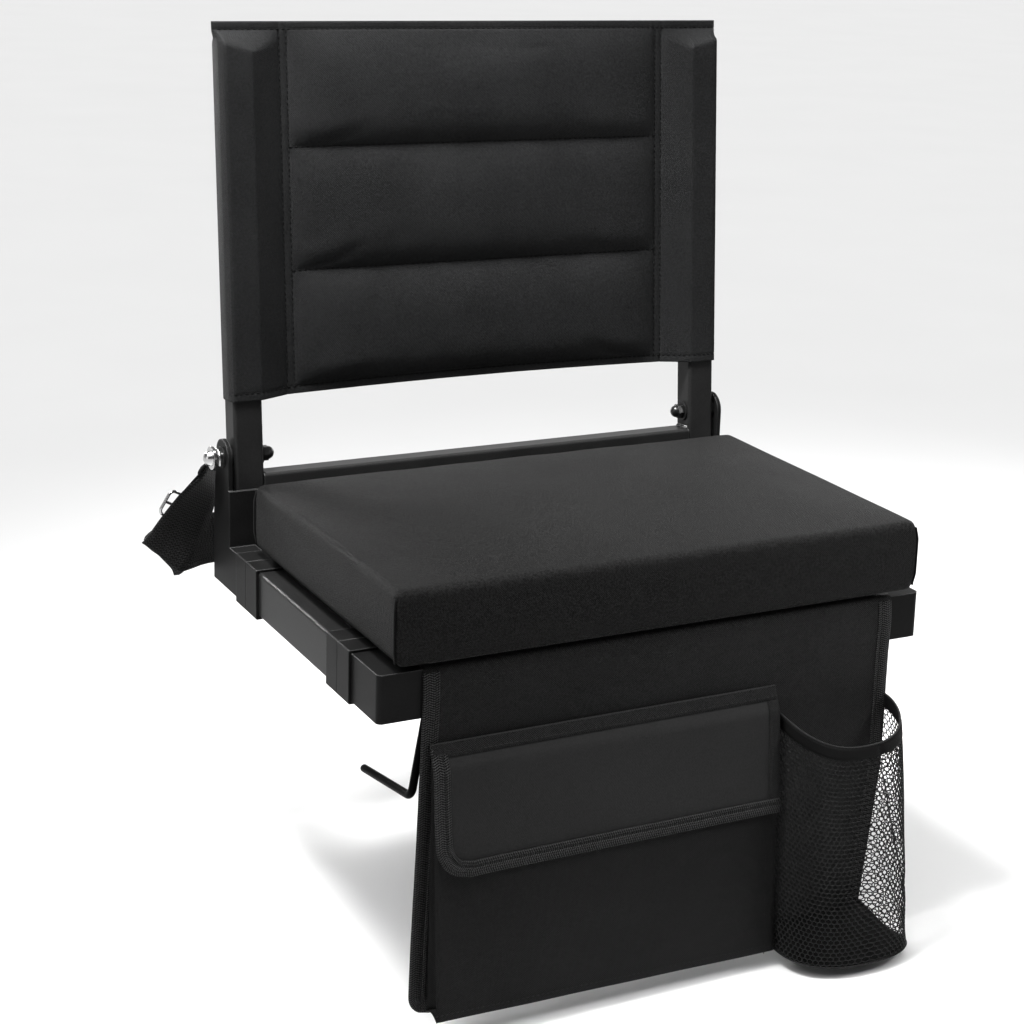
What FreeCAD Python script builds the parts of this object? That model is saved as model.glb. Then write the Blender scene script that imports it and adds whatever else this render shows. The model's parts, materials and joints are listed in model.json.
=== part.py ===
import FreeCAD, Part
import math
import os

import Sketcher

# Folding bench seat: tubular base, box cushion, hinged backrest sling, front organiser, bench hooks, strap.
# Frame: X right, Y back, Z up, millimetres. The origin is the middle of the bench slot: the bench top is
# Z 0 and the bench front edge is Y 0, where the stems of the two hooks stop it.

os.makedirs("parts", exist_ok=True)
doc = FreeCAD.newDocument("StadiumSeat")
sheet = doc.addObject("Spreadsheet::Sheet", "Sizes")

SIZES = [
    ("frame_width", 530, "over the two side rails"),
    ("frame_depth", 400, "front bar face to bracket rear face"),
    ("bench_setback", 35, "front bar face to bench edge"),
    ("rail_height", 42, "side rail section"),
    ("rail_width", 25, "side rail section"),
    ("tube_wall", 1.5, "steel tube wall"),
    ("tube_corner", 3, "outer corner radius of the tubes"),
    ("joint_gap", 0.2, "gap where tube ends meet the mouldings"),
    ("spigot_length", 28, "plug that enters a tube"),
    ("spigot_gap", 0.2, "clearance of a plug in its tube"),
    ("elbow_reach", 60, "front leg of the corner moulding"),
    ("elbow_round", 5, "outer vertical corner of the elbow"),
    ("collar_proud", 2.5, "how far the collars stand off the rail"),
    ("collar_round", 1.2, "collar edge rounding"),
    ("front_collar_start", 56, "front face to front collar"),
    ("front_collar_length", 50, "front collar"),
    ("rear_collar_end", 69, "rear face to rear collar"),
    ("rear_collar_length", 54, "rear collar"),
    ("groove_width", 0.9, "joint groove round each collar"),
    ("groove_depth", 0.9, "joint groove round each collar"),
    ("screw_shank", 3.5, "collar screw"),
    ("screw_head", 7, "collar screw"),
    ("screw_head_height", 2, "collar screw"),
    ("screw_pitch", 26, "two screws in one collar"),
    ("screw_gap", 0.05, "radial clearance of a screw"),
    ("slat_width", 40, "seat slat section"),
    ("slat_height", 20, "seat slat section"),
    ("slat_spacing", 120, "between slat centres"),
    ("deck_thickness", 8.5, "seat board"),
    ("deck_bearing", 2, "seat board on each side rail"),
    ("deck_notch_gap", 1, "seat board to the collars"),
    ("deck_rear_gap", 80, "rear face to board edge"),
    ("deck_round", 12, "seat board corners"),
    ("deck_front_gap", 24, "front bar face to board edge"),
    ("deck_screw_margin", 30, "board edge to its first screws"),
    ("cushion_inset", 9, "side rail face to cushion side"),
    ("cushion_rear_gap", 78, "rear face to cushion back, room for the crossbar"),
    ("cushion_height", 63, "seat cushion at its edge"),
    ("cushion_crown", 4, "rise of the cushion middle"),
    ("cushion_corner", 9, "vertical corner radius of the cushion"),
    ("cushion_edge", 7, "rounding of the cushion edges"),
    ("cushion_overhang", 10, "cushion in front of the front bar"),
    ("cover_cloth", 2, "sewn cover thickness"),
    ("pivot_inset", 25, "rear face to pivot axis"),
    ("pivot_height", 127, "bench to pivot axis"),
    ("ear_radius", 17, "round top of the bracket ear"),
    ("bracket_wall", 4, "outer wall and ear of the bracket"),
    ("bracket_skin", 3, "thin walls and ribs of the bracket"),
    ("bracket_width", 36, "wide foot of the bracket"),
    ("lip_height", 98.5, "top of the stop lip above the bench"),
    ("lip_width", 34, "stop lip across the upright"),
    ("lip_wall", 3, "stop lip thickness"),
    ("stop_gap", 0.4, "upright foot to stop lip"),
    ("bolt_diameter", 8, "pivot bolt"),
    ("bolt_gap", 0.05, "radial running clearance on the bolt"),
    ("bolt_head", 15, "pivot bolt head"),
    ("bolt_head_height", 7, "pivot bolt head"),
    ("washer_diameter", 20, "pivot washers"),
    ("face_washer", 1.5, "washer under the bolt head and nut"),
    ("running_gap", 0.3, "side clearance of the hinge"),
    ("nut_width", 13, "dome nut across flats"),
    ("nut_height", 6, "dome nut hexagon"),
    ("spool_diameter", 12, "strap spool on the left bolt"),
    ("spool_length", 7, "strap spool"),
    ("cap_diameter", 22, "bright cap outside the spool"),
    ("cap_height", 2.5, "bright cap outside the spool"),
    ("back_lean", 4.4, "backrest lean in degrees"),
    ("upright_width", 28, "upright tube section"),
    ("upright_depth", 26, "upright tube section"),
    ("upright_gap", 4, "upright to bracket ear, taken up by a washer"),
    ("upright_below", 42, "upright below the pivot"),
    ("cover_hem", 29, "cover above the upright ends"),
    ("plug_head", 1.5, "flange of the tube plugs"),
    ("plug_depth", 12, "tube plugs"),
    ("crossbar_height", 25, "crossbar section"),
    ("crossbar_drop", 17, "pivot axis to crossbar top"),
    ("weld_leg", 2.5, "weld bead on the crossbar"),
    ("sleeve_gap", 0.5, "cloth sleeve round the upright"),
    ("cover_bottom", 53, "backrest cover above the pivot"),
    ("cover_top", 398, "backrest cover above the pivot"),
    ("stitch_inset", 29, "upright inner face to the sleeve stitching"),
    ("seam_thickness", 4, "cover at its seams"),
    ("channel_front", 8, "front swell of each channel"),
    ("channel_back", 4, "rear swell of each channel"),
    ("channel_end", 26, "channel end taper"),
    ("hook_rod", 7, "bench hook wire"),
    ("hook_inset", 60.5, "side rail face to the hook journal"),
    ("hook_height", 17.5, "bench to the hook journal"),
    ("hook_drop", 99, "journal to hook leg"),
    ("hook_leg", 97, "hook leg"),
    ("hook_tilt", 9.5, "outward swing of the hanging hook in degrees"),
    ("hook_open", 7.5, "downward slope of the hook leg in degrees"),
    ("hook_bend", 9, "bend radius of the hook wire"),
    ("hook_journal", 54, "hook wire inside its block"),
    ("hook_gap", 0.06, "radial running clearance of the hook"),
    ("block_width", 18, "hook block"),
    ("block_length", 38, "hook block"),
    ("block_start", 7, "bench edge to the hook block"),
    ("retainer_diameter", 13, "push-on hook retainer"),
    ("retainer_length", 4, "push-on hook retainer"),
    ("apron_left_inset", 30, "side rail face to the left apron edge"),
    ("apron_right_inset", 32, "side rail face to the right apron edge"),
    ("apron_drop", 262.5, "bench to the apron bottom"),
    ("apron_cloth", 2, "apron cloth"),
    ("apron_corner", 18, "lower corners of the apron"),
    ("fold_gap", 0.5, "header edge to hanging panel"),
    ("header_return", 23, "apron header on top of the front bar"),
    ("strip_width", 14, "clamp strip"),
    ("strip_thickness", 1.5, "clamp strip"),
    ("binding_width", 14, "woven binding"),
    ("binding_thickness", 1, "woven binding"),
    ("pocket_inset", 15, "left apron edge to the pocket side"),
    ("pocket_gap", 4, "pocket side to the pouch"),
    ("pocket_top", 34, "bench to the pocket mouth"),
    ("pocket_bottom", 261, "bench to the pocket floor"),
    ("pocket_mouth", 7.5, "pocket depth at its mouth"),
    ("pocket_base", 23, "pocket depth at its floor"),
    ("pocket_cloth", 1.5, "pocket cloth"),
    ("flap_top", 19.5, "bench to the flap seam"),
    ("flap_bend", 40, "bench to the bend of the flap"),
    ("flap_bottom", 133, "bench to the flap edge"),
    ("flap_cloth", 2, "flap cloth"),
    ("flap_corner", 18, "lower corners of the flap"),
    ("flap_binding", 12, "woven binding of the flap"),
    ("patch_width", 60, "hook-and-loop patch"),
    ("patch_height", 22, "hook-and-loop patch"),
    ("patch_thickness", 1.1, "hook-and-loop patch"),
    ("patch_pitch", 180, "between patch centres"),
    ("patch_gap", 0.35, "between the two halves of a closed patch"),
    ("pouch_width", 115, "pouch along the apron"),
    ("pouch_inset", 1, "right apron edge to the pouch side"),
    ("pouch_top", 49, "bench to the pouch band"),
    ("pouch_drop", 270, "bench to the pouch floor"),
    ("pouch_reach", 58, "pouch in front of the apron at its band"),
    ("pouch_base_reach", 72, "pouch in front of the apron at its floor"),
    ("pouch_bulge", 15, "pouch floor beyond its right edge"),
    ("pouch_cloth", 1.2, "pouch net"),
    ("band_height", 12, "elastic band of the pouch"),
    ("strap_width", 50, "carrying strap"),
    ("strap_thickness", 1.8, "carrying strap"),
    ("strap_slack", 49, "strap run behind the rear face"),
    ("strap_start_height", 92, "bench to the middle of the snap's loop"),
    ("strap_start_back", 19, "snap's loop behind the rear face"),
    ("strap_fold_out", 42, "strap fold beyond the side rail"),
    ("strap_fold_height", 21.5, "bench to the middle of the strap fold"),
    ("strap_lift", 1.6, "lower strap edge above the bench"),
    ("wire_diameter", 3, "loop and slider wire"),
    ("snap_wire", 3.6, "snap hook wire"),
    ("snap_radius", 9.5, "snap hook round the spool"),
    ("slider_height", 24, "wire slider"),
    ("slider_over", 8, "slider beyond the strap edge"),
    ("anchor_width", 20, "right strap anchor plate"),
    ("anchor_thickness", 2, "right strap anchor plate"),
]
for row, (alias, size, note) in enumerate(SIZES, 1):
    sheet.set(f"A{row}", alias)
    sheet.set(f"B{row}", str(size))
    sheet.set(f"C{row}", note)
    sheet.setAlias(f"B{row}", alias)
doc.recompute()

# Places worked out from the sheet, kept as expressions so that every object stays bound to it.
HALF = "(Sizes.frame_width / 2)"
FRONT = "(-Sizes.bench_setback)"
REAR = "(Sizes.frame_depth - Sizes.bench_setback)"
BASE = "Sizes.collar_proud"
TOP = "(Sizes.collar_proud + Sizes.rail_height)"
RAIL_INNER = f"({HALF} - Sizes.rail_width)"
FRONT_JOINT = f"({FRONT} + Sizes.front_collar_start + Sizes.front_collar_length / 2)"
REAR_JOINT = f"({REAR} - Sizes.rear_collar_end - Sizes.rear_collar_length / 2)"
BAR_END = f"({HALF} - Sizes.elbow_reach)"
FOOT_INNER = f"({HALF} - Sizes.bracket_width)"
PIVOT_Y = f"({REAR} - Sizes.pivot_inset)"
PIVOT_Z = "Sizes.pivot_height"
LEAN = "(Sizes.back_lean * 1 deg)"
LIP_REAR = (f"({PIVOT_Y} - Sizes.upright_depth / 2 * cos({LEAN}) "
            f"- (Sizes.upright_below + Sizes.plug_head) * sin({LEAN}) - Sizes.stop_gap)")
LIP_FRONT = f"({LIP_REAR} - Sizes.lip_wall)"
DECK_TOP = f"({TOP} + Sizes.deck_thickness)"
DECK_HALF = f"({RAIL_INNER} + Sizes.deck_bearing)"
DECK_DEPTH = "(Sizes.frame_depth - Sizes.deck_front_gap - Sizes.deck_rear_gap)"
EAR_INNER = f"({HALF} - Sizes.bracket_wall)"
UPRIGHT_OUT = f"({EAR_INNER} - Sizes.upright_gap)"
UPRIGHT_IN = f"({UPRIGHT_OUT} - Sizes.upright_width)"
UPRIGHT_ABOVE = "(Sizes.cover_top - Sizes.cover_hem)"
STITCH = f"({UPRIGHT_IN} - Sizes.stitch_inset)"
HOOK_X = f"({HALF} - Sizes.hook_inset)"
APRON_LEFT = f"({HALF} - Sizes.apron_left_inset)"
APRON_RIGHT = f"({HALF} - Sizes.apron_right_inset)"
POUCH_RIGHT = f"({APRON_RIGHT} - Sizes.pouch_inset)"
POUCH_LEFT = f"({POUCH_RIGHT} - Sizes.pouch_width)"
POCKET_LEFT = f"({APRON_LEFT} - Sizes.pocket_inset)"
POCKET_RIGHT = f"({POUCH_LEFT} - Sizes.pocket_gap)"
HEADER_FACE = f"({FRONT} - Sizes.apron_cloth)"
PANEL_FACE = f"({FRONT} - Sizes.apron_cloth * 1.5)"
SIDES = (("left", -1), ("right", 1))
PLANES = {"X": "YZ_Plane", "Y": "XZ_Plane", "Z": "XY_Plane"}


def value(expression):
    """Number that an expression over the sheet has now."""
    return float(sheet.evalExpression(expression))


def size(alias):
    """Number in one cell of the sheet."""
    return value(f"Sizes.{alias}")


def vec(x, y, z):
    return FreeCAD.Vector(x, y, z)


def low_x(side, inner, outer):
    """Lower X of a piece that lies between two distances from the centre line."""
    return f"(-({outer}))" if side < 0 else f"({inner})"


def position(obj, x, y, z):
    for axis, expression in zip("xyz", (x, y, z)):
        obj.setExpression(f"Placement.Base.{axis}", expression)
    return obj


def box(name, x, y, z, dx, dy, dz):
    """Block given by its low corner and its three sizes."""
    block = doc.addObject("Part::Box", name)
    for side_name, expression in zip(("Length", "Width", "Height"), (dx, dy, dz)):
        block.setExpression(side_name, expression)
    return position(block, x, y, z)


def cylinder(name, axis, x, y, z, radius, length):
    """Round bar that starts at a point and runs along X, Y or Z."""
    turn = {"X": (vec(0, 1, 0), 90), "Y": (vec(1, 0, 0), -90), "Z": (vec(0, 0, 1), 0)}[axis]
    bar = doc.addObject("Part::Cylinder", name)
    bar.Placement = FreeCAD.Placement(vec(0, 0, 0), FreeCAD.Rotation(*turn))
    bar.setExpression("Radius", radius)
    bar.setExpression("Height", length)
    return position(bar, x, y, z)


def fuse(name, pieces):
    joined = doc.addObject("Part::MultiFuse", name)
    joined.Shapes = pieces
    joined.Refine = True
    return joined


def cut(name, base, tool):
    result = doc.addObject("Part::Cut", name)
    result.Base = base
    result.Tool = tool
    result.Refine = True
    return result


def group(name, pieces):
    """Separate like solids that share one node."""
    bundle = doc.addObject("Part::Compound", name)
    bundle.Links = pieces
    return bundle


def polygon(sketch, points):
    """Closed outline whose corners are bound to expressions."""
    first = sketch.GeometryCount
    spots = [(value(x), value(y)) for x, y in points]
    count = len(spots)
    for index, spot in enumerate(spots):
        following = spots[(index + 1) % count]
        sketch.addGeometry(Part.LineSegment(vec(*spot, 0), vec(*following, 0)), False)
    for index in range(count):
        following = first + (index + 1) % count
        sketch.addConstraint(Sketcher.Constraint("Coincident", first + index, 2, following, 1))
    for index, point in enumerate(points):
        for kind, expression, spot in zip(("DistanceX", "DistanceY"), point, spots[index]):
            number = sketch.addConstraint(Sketcher.Constraint(kind, -1, 1, first + index, 1, spot))
            sketch.setExpression(f"Constraints[{number}]", expression)


def rectangle(sketch, x, y, dx, dy):
    far_x, far_y = f"({x}) + ({dx})", f"({y}) + ({dy})"
    polygon(sketch, [(x, y), (far_x, y), (far_x, far_y), (x, far_y)])


def circle(sketch, x, y, radius):
    number = sketch.addGeometry(Part.Circle(vec(value(x), value(y), 0), vec(0, 0, 1), value(radius)), False)
    bound = (("DistanceX", x), ("DistanceY", y))
    for kind, expression in bound:
        index = sketch.addConstraint(Sketcher.Constraint(kind, -1, 1, number, 3, value(expression)))
        sketch.setExpression(f"Constraints[{index}]", expression)
    index = sketch.addConstraint(Sketcher.Constraint("Radius", number, value(radius)))
    sketch.setExpression(f"Constraints[{index}]", radius)


def new_sketch(body, axis, name):
    """Sketch on the body's own origin plane across one axis."""
    sketch = body.newObject("Sketcher::SketchObject", name)
    plane = [item for item in body.Origin.OriginFeatures if item.Role == PLANES[axis]][0]
    sketch.AttachmentSupport = [(plane, "")]
    sketch.MapMode = "FlatFace"
    return sketch


def pad(body, axis, sketch, length, name):
    """Material from the sketch towards the positive axis."""
    feature = body.newObject("PartDesign::Pad", name)
    feature.Profile = sketch
    feature.setExpression("Length", length)
    feature.Reversed = axis == "Y"
    body.Tip = feature
    return feature


def plate(name, axis, outline, length):
    """Body padded along an axis from one polygon."""
    body = doc.addObject("PartDesign::Body", name)
    sketch = new_sketch(body, axis, name + "_outline")
    polygon(sketch, outline)
    pad(body, axis, sketch, length, name + "_pad")
    return body


def round_edges(body, radius, chosen, name):
    """Fillet on the edges of the body that the test picks."""
    doc.recompute()
    base = body.Tip
    names = [f"Edge{number}" for number, edge in enumerate(base.Shape.Edges, 1) if chosen(edge)]
    feature = body.newObject("PartDesign::Fillet", name)
    feature.Base = (base, names)
    feature.setExpression("Radius", radius)
    body.Tip = feature
    return body


def along(edge, axis):
    """True for a straight edge parallel to an axis."""
    if len(edge.Vertexes) < 2:
        return False
    step = edge.Vertexes[1].Point - edge.Vertexes[0].Point
    parts = [abs(step.x), abs(step.y), abs(step.z)]
    longest = parts["XYZ".index(axis)]
    return longest > 0.5 and sum(parts) - longest < 1e-6


def tube(name, axis, across, tall, length, wall="Sizes.tube_wall"):
    """Rectangular tube from the origin along an axis, with rounded outer corners."""
    body = doc.addObject("PartDesign::Body", name)
    sketch = new_sketch(body, axis, name + "_section")
    rectangle(sketch, "0", "0", across, tall)
    rectangle(sketch, wall, wall, f"{across} - 2 * {wall}", f"{tall} - 2 * {wall}")
    pad(body, axis, sketch, length, name + "_pad")
    first, second = [letter for letter in "XYZ" if letter != axis]
    limits = (0.0, value(across)), (0.0, value(tall))

    def outer(edge):
        spot = {"X": edge.CenterOfMass.x, "Y": edge.CenterOfMass.y, "Z": edge.CenterOfMass.z}
        near = all(min(abs(spot[letter] - end) for end in ends) < 1e-6
                   for letter, ends in zip((first, second), limits))
        return near and along(edge, axis)

    return round_edges(body, "Sizes.tube_corner", outer, name + "_corners")


def solid(name, shape):
    """Piece whose form is worked out from the sheet in code."""
    feature = doc.addObject("Part::Feature", name)
    feature.Shape = shape
    return feature


def rod(points, bends, radius):
    """Round wire through straight runs joined by tangent arcs."""
    edges = []
    start = points[0]
    for corner, after, bend in zip(points[1:-1], points[2:], bends):
        inward = (start - corner).normalize()
        onward = (after - corner).normalize()
        half = inward.getAngle(onward) / 2
        reach = bend / math.tan(half)
        middle = (inward + onward).normalize()
        enter, leave = corner + inward * reach, corner + onward * reach
        crown = corner + middle * (bend / math.sin(half) - bend)
        edges.append(Part.makeLine(start, enter))
        edges.append(Part.Arc(enter, crown, leave).toShape())
        start = leave
    edges.append(Part.makeLine(start, points[-1]))
    spine = Part.Wire(edges)
    heading = points[1] - points[0]
    ring = Part.Wire([Part.makeCircle(radius, points[0], heading)])
    return spine.makePipeShell([ring], True, True)


def loop(corners, bend, radius):
    """Closed round wire through corners, started in the middle of its first side."""
    middle = (corners[0] + corners[1]) * 0.5
    points = [middle] + corners[1:] + [corners[0], middle]
    return rod(points, [bend] * len(corners), radius)


nodes = []


def node(obj, name):
    """Mark an object as a handed-in piece under its node name."""
    obj.Label = name
    nodes.append(obj)
    return obj


# Base frame: tubes plugged onto moulded corners, each joint covered by a collar.
PLUG_INSET = "(Sizes.tube_wall + Sizes.spigot_gap)"
PLUG_WIDE = f"(Sizes.rail_width - 2 * {PLUG_INSET})"
PLUG_TALL = f"(Sizes.rail_height - 2 * {PLUG_INSET})"
PLUG_LONG = "Sizes.spigot_length"
PLUG_Z = f"({BASE} + {PLUG_INSET})"


def screw_holes(name, side, joint):
    """Shank spaces of the two screws through the inner wall of a collar."""
    reach = "(Sizes.collar_proud + Sizes.tube_wall)"
    inner = f"({RAIL_INNER} - Sizes.collar_proud)"
    start = low_x(side, inner, f"({inner} + {reach})")
    middle = f"({BASE} + Sizes.rail_height / 2)"
    return [cylinder(f"{name}_{number}", "X", start, f"{joint} + {sign} * Sizes.screw_pitch / 2", middle,
                     "Sizes.screw_shank / 2 + Sizes.screw_gap", reach)
            for number, sign in enumerate((-1, 1), 1)]


def screws(name, side, joint):
    """Two pan-head screws seated on the inner wall of a collar."""
    reach = "(Sizes.collar_proud + Sizes.tube_wall)"
    inner = f"({RAIL_INNER} - Sizes.collar_proud)"
    shank_x = low_x(side, inner, f"({inner} + {reach})")
    head_x = low_x(side, f"({inner} - Sizes.screw_head_height)", inner)
    middle = f"({BASE} + Sizes.rail_height / 2)"
    made = []
    for number, sign in enumerate((-1, 1), 1):
        y = f"{joint} + {sign} * Sizes.screw_pitch / 2"
        shank = cylinder(f"{name}_shank_{number}", "X", shank_x, y, middle, "Sizes.screw_shank / 2", reach)
        head = cylinder(f"{name}_head_{number}", "X", head_x, y, middle, "Sizes.screw_head / 2",
                        "Sizes.screw_head_height")
        made.append(fuse(f"{name}_{number}", [shank, head]))
    return made


def collar(name, side, start, length, joint):
    """Sleeve over the joint of rail and moulding, grooved where they meet; its underside is a foot."""
    proud = "Sizes.collar_proud"
    x_out = low_x(side, f"({RAIL_INNER} - {proud})", f"({HALF} + {proud})")
    wide, tall = f"Sizes.rail_width + 2 * {proud}", f"Sizes.rail_height + 2 * {proud}"
    body = plate(name + "_block", "Y", [("0", "0"), (wide, "0"), (wide, tall), ("0", tall)], length)
    round_edges(body, "Sizes.collar_round", lambda edge: along(edge, "Y"), name + "_round")
    position(body, x_out, start, "0")
    x_in = low_x(side, RAIL_INNER, HALF)
    bore = box(name + "_bore", x_in, start, BASE, "Sizes.rail_width", length, "Sizes.rail_height")
    depth = "Sizes.groove_depth"
    groove_y = f"{joint} - Sizes.groove_width / 2"
    around = box(name + "_around", f"{x_out} - 1", groove_y, "-1",
                 f"{wide} + 2", "Sizes.groove_width", f"{tall} + 2")
    kept = box(name + "_kept", f"{x_out} + {depth}", groove_y, depth,
               f"{wide} - 2 * {depth}", "Sizes.groove_width", f"{tall} - 2 * {depth}")
    groove = cut(name + "_groove", around, kept)
    holes = screw_holes(name + "_hole", side, joint)
    return cut(name, body, fuse(name + "_spaces", [bore, groove] + holes))


# Screws of the seat board: three along each slat, seated in the upper wall of the slat.
HOLE = "(Sizes.screw_shank / 2 + Sizes.screw_gap)"
SINK = "(Sizes.screw_head / 2 + Sizes.screw_gap)"
SLAT_SKIN = f"({TOP} - Sizes.tube_wall)"
HEAD_LOW = f"({DECK_TOP} - Sizes.screw_head_height)"


def deck_cylinders(name, side, radius, low, length):
    """One upright cylinder on each screw place of the seat board above a slat."""
    first = f"({FRONT} + Sizes.deck_front_gap + Sizes.deck_screw_margin)"
    step = f"(({DECK_DEPTH} - 2 * Sizes.deck_screw_margin) / 2)"
    middle = f"{side} * Sizes.slat_spacing / 2"
    return [cylinder(f"{name}_{number}", "Z", middle, f"{first} + {number} * {step}", low, radius, length)
            for number in range(3)]


collar_screws = []
for label, side in SIDES:
    rail_x = low_x(side, RAIL_INNER, HALF)
    plug_x = f"{rail_x} + {PLUG_INSET}"

    # Side rail between the two joints.
    rail = tube(f"rail_{label}", "Y", "Sizes.rail_width", "Sizes.rail_height",
                f"{REAR_JOINT} - {FRONT_JOINT} - 2 * Sizes.joint_gap")
    position(rail, rail_x, f"{FRONT_JOINT} + Sizes.joint_gap", BASE)
    rail_holes = (screw_holes(f"rail_front_hole_{label}", side, FRONT_JOINT)
                  + screw_holes(f"rail_rear_hole_{label}", side, REAR_JOINT))
    node(cut(f"rail_cut_{label}", rail, fuse(f"rail_spaces_{label}", rail_holes)), f"side_rail_{label}")

    # Front elbow: one leg towards the rail, one towards the front bar, each with a plug.
    side_leg = box(f"elbow_side_{label}", rail_x, FRONT, BASE,
                   "Sizes.rail_width", f"{FRONT_JOINT} - {FRONT}", "Sizes.rail_height")
    front_leg = box(f"elbow_front_{label}", low_x(side, BAR_END, HALF), FRONT, BASE,
                    "Sizes.elbow_reach", "Sizes.rail_width", "Sizes.rail_height")
    rail_plug = box(f"elbow_rail_plug_{label}", plug_x, FRONT_JOINT, PLUG_Z,
                    PLUG_WIDE, PLUG_LONG, PLUG_TALL)
    bar_plug_x = low_x(side, f"({BAR_END} - {PLUG_LONG})", BAR_END)
    bar_plug = box(f"elbow_bar_plug_{label}", bar_plug_x, f"{FRONT} + {PLUG_INSET}", PLUG_Z,
                   PLUG_LONG, PLUG_WIDE, PLUG_TALL)
    elbow_raw = fuse(f"elbow_raw_{label}", [side_leg, front_leg, rail_plug, bar_plug])
    doc.recompute()
    corner_x = side * value(HALF)
    corner = [number for number, edge in enumerate(elbow_raw.Shape.Edges, 1)
              if along(edge, "Z") and abs(edge.CenterOfMass.x - corner_x) < 1e-6
              and abs(edge.CenterOfMass.y - value(FRONT)) < 1e-6]
    elbow = doc.addObject("Part::Fillet", f"elbow_round_{label}")
    elbow.Base = elbow_raw
    elbow.Edges = [(number, size("elbow_round"), size("elbow_round")) for number in corner]
    elbow_holes = fuse(f"elbow_spaces_{label}", screw_holes(f"elbow_hole_{label}", side, FRONT_JOINT))
    node(cut(f"elbow_{label}", elbow, elbow_holes), f"front_corner_{label}")

    # Collars over both joints, with their screws.
    front_start = f"{FRONT} + Sizes.front_collar_start"
    rear_start = f"{REAR} - Sizes.rear_collar_end - Sizes.rear_collar_length"
    front_sleeve = collar(f"front_collar_{label}", side, front_start,
                          "Sizes.front_collar_length", FRONT_JOINT)
    rear_sleeve = collar(f"rear_collar_{label}", side, rear_start, "Sizes.rear_collar_length", REAR_JOINT)
    node(front_sleeve, f"front_collar_{label}")
    node(rear_sleeve, f"rear_collar_{label}")
    collar_screws += screws(f"front_screw_{label}", side, FRONT_JOINT)
    collar_screws += screws(f"rear_screw_{label}", side, REAR_JOINT)

    # Rear bracket: outer wall with the round ear, stop lip, hollow ribbed foot and two plugs.
    ear_x = low_x(side, EAR_INNER, HALF)
    ear_front, ear_rear = f"{PIVOT_Y} - Sizes.ear_radius", f"{PIVOT_Y} + Sizes.ear_radius"
    wall = plate(f"bracket_wall_{label}", "X", [
        (LIP_FRONT, BASE), (LIP_FRONT, "Sizes.lip_height"), (ear_front, "Sizes.lip_height"),
        (ear_front, PIVOT_Z), (ear_rear, PIVOT_Z), (REAR, f"{TOP} + Sizes.ear_radius"), (REAR, BASE)],
        "Sizes.bracket_wall")
    ear_sketch = new_sketch(wall, "X", f"bracket_ear_{label}")
    circle(ear_sketch, PIVOT_Y, PIVOT_Z, "Sizes.ear_radius")
    pad(wall, "X", ear_sketch, "Sizes.bracket_wall", f"bracket_ear_pad_{label}")
    position(wall, ear_x, "0", "0")
    foot_x = low_x(side, FOOT_INNER, HALF)
    foot = box(f"bracket_foot_{label}", foot_x, LIP_FRONT, BASE,
               "Sizes.bracket_width", f"{REAR} - {LIP_FRONT}", "Sizes.rail_height")
    neck = box(f"bracket_neck_{label}", rail_x, REAR_JOINT, BASE,
               "Sizes.rail_width", f"{LIP_FRONT} - {REAR_JOINT}", "Sizes.rail_height")
    lip = box(f"bracket_lip_{label}", low_x(side, f"({HALF} - Sizes.lip_width)", HALF), LIP_FRONT, TOP,
              "Sizes.lip_width", "Sizes.lip_wall", f"Sizes.lip_height - {TOP}")
    rail_plug = box(f"bracket_rail_plug_{label}", plug_x, f"{REAR_JOINT} - {PLUG_LONG}", PLUG_Z,
                    PLUG_WIDE, PLUG_LONG, PLUG_TALL)
    bar_plug_x = low_x(side, f"({FOOT_INNER} - {PLUG_LONG})", FOOT_INNER)
    bar_plug_y = f"{REAR} - Sizes.rail_width + {PLUG_INSET}"
    bar_plug = box(f"bracket_bar_plug_{label}", bar_plug_x, bar_plug_y, PLUG_Z,
                   PLUG_LONG, PLUG_WIDE, PLUG_TALL)
    skin = "Sizes.bracket_skin"
    room = f"({REAR} - {LIP_FRONT} - 3 * {skin}) / 2"
    hollows = [box(f"bracket_hollow_{number}_{label}", f"{foot_x} + {skin}",
                   f"{LIP_FRONT} + {skin} + {number} * ({room} + {skin})", BASE,
                   f"Sizes.bracket_width - 2 * {skin}", room, f"Sizes.rail_height - {skin}")
               for number in (0, 1)]
    bolt_hole = cylinder(f"bracket_bolt_hole_{label}", "X", ear_x, PIVOT_Y, PIVOT_Z,
                         "Sizes.bolt_diameter / 2 + Sizes.screw_gap", "Sizes.bracket_wall")
    bracket_raw = fuse(f"bracket_raw_{label}", [wall, foot, neck, lip, rail_plug, bar_plug])
    bracket_holes = screw_holes(f"bracket_hole_{label}", side, REAR_JOINT)
    bracket_spaces = fuse(f"bracket_spaces_{label}", hollows + [bolt_hole] + bracket_holes)
    node(cut(f"bracket_{label}", bracket_raw, bracket_spaces), f"rear_bracket_{label}")

    # Seat slat between the front bar and the rear bar, drilled for the screws of the seat board.
    slat = tube(f"slat_{label}", "Y", "Sizes.slat_width", "Sizes.slat_height",
                "Sizes.frame_depth - 2 * Sizes.rail_width - 2 * Sizes.joint_gap")
    slat_inner = "(Sizes.slat_spacing / 2 - Sizes.slat_width / 2)"
    position(slat, low_x(side, slat_inner, f"({slat_inner} + Sizes.slat_width)"),
             f"{FRONT} + Sizes.rail_width + Sizes.joint_gap", f"{TOP} - Sizes.slat_height")
    slat_holes = deck_cylinders(f"slat_hole_{label}", side, HOLE, SLAT_SKIN, "Sizes.tube_wall")
    node(cut(f"slat_cut_{label}", slat, fuse(f"slat_holes_{label}", slat_holes)), f"seat_slat_{label}")

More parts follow.
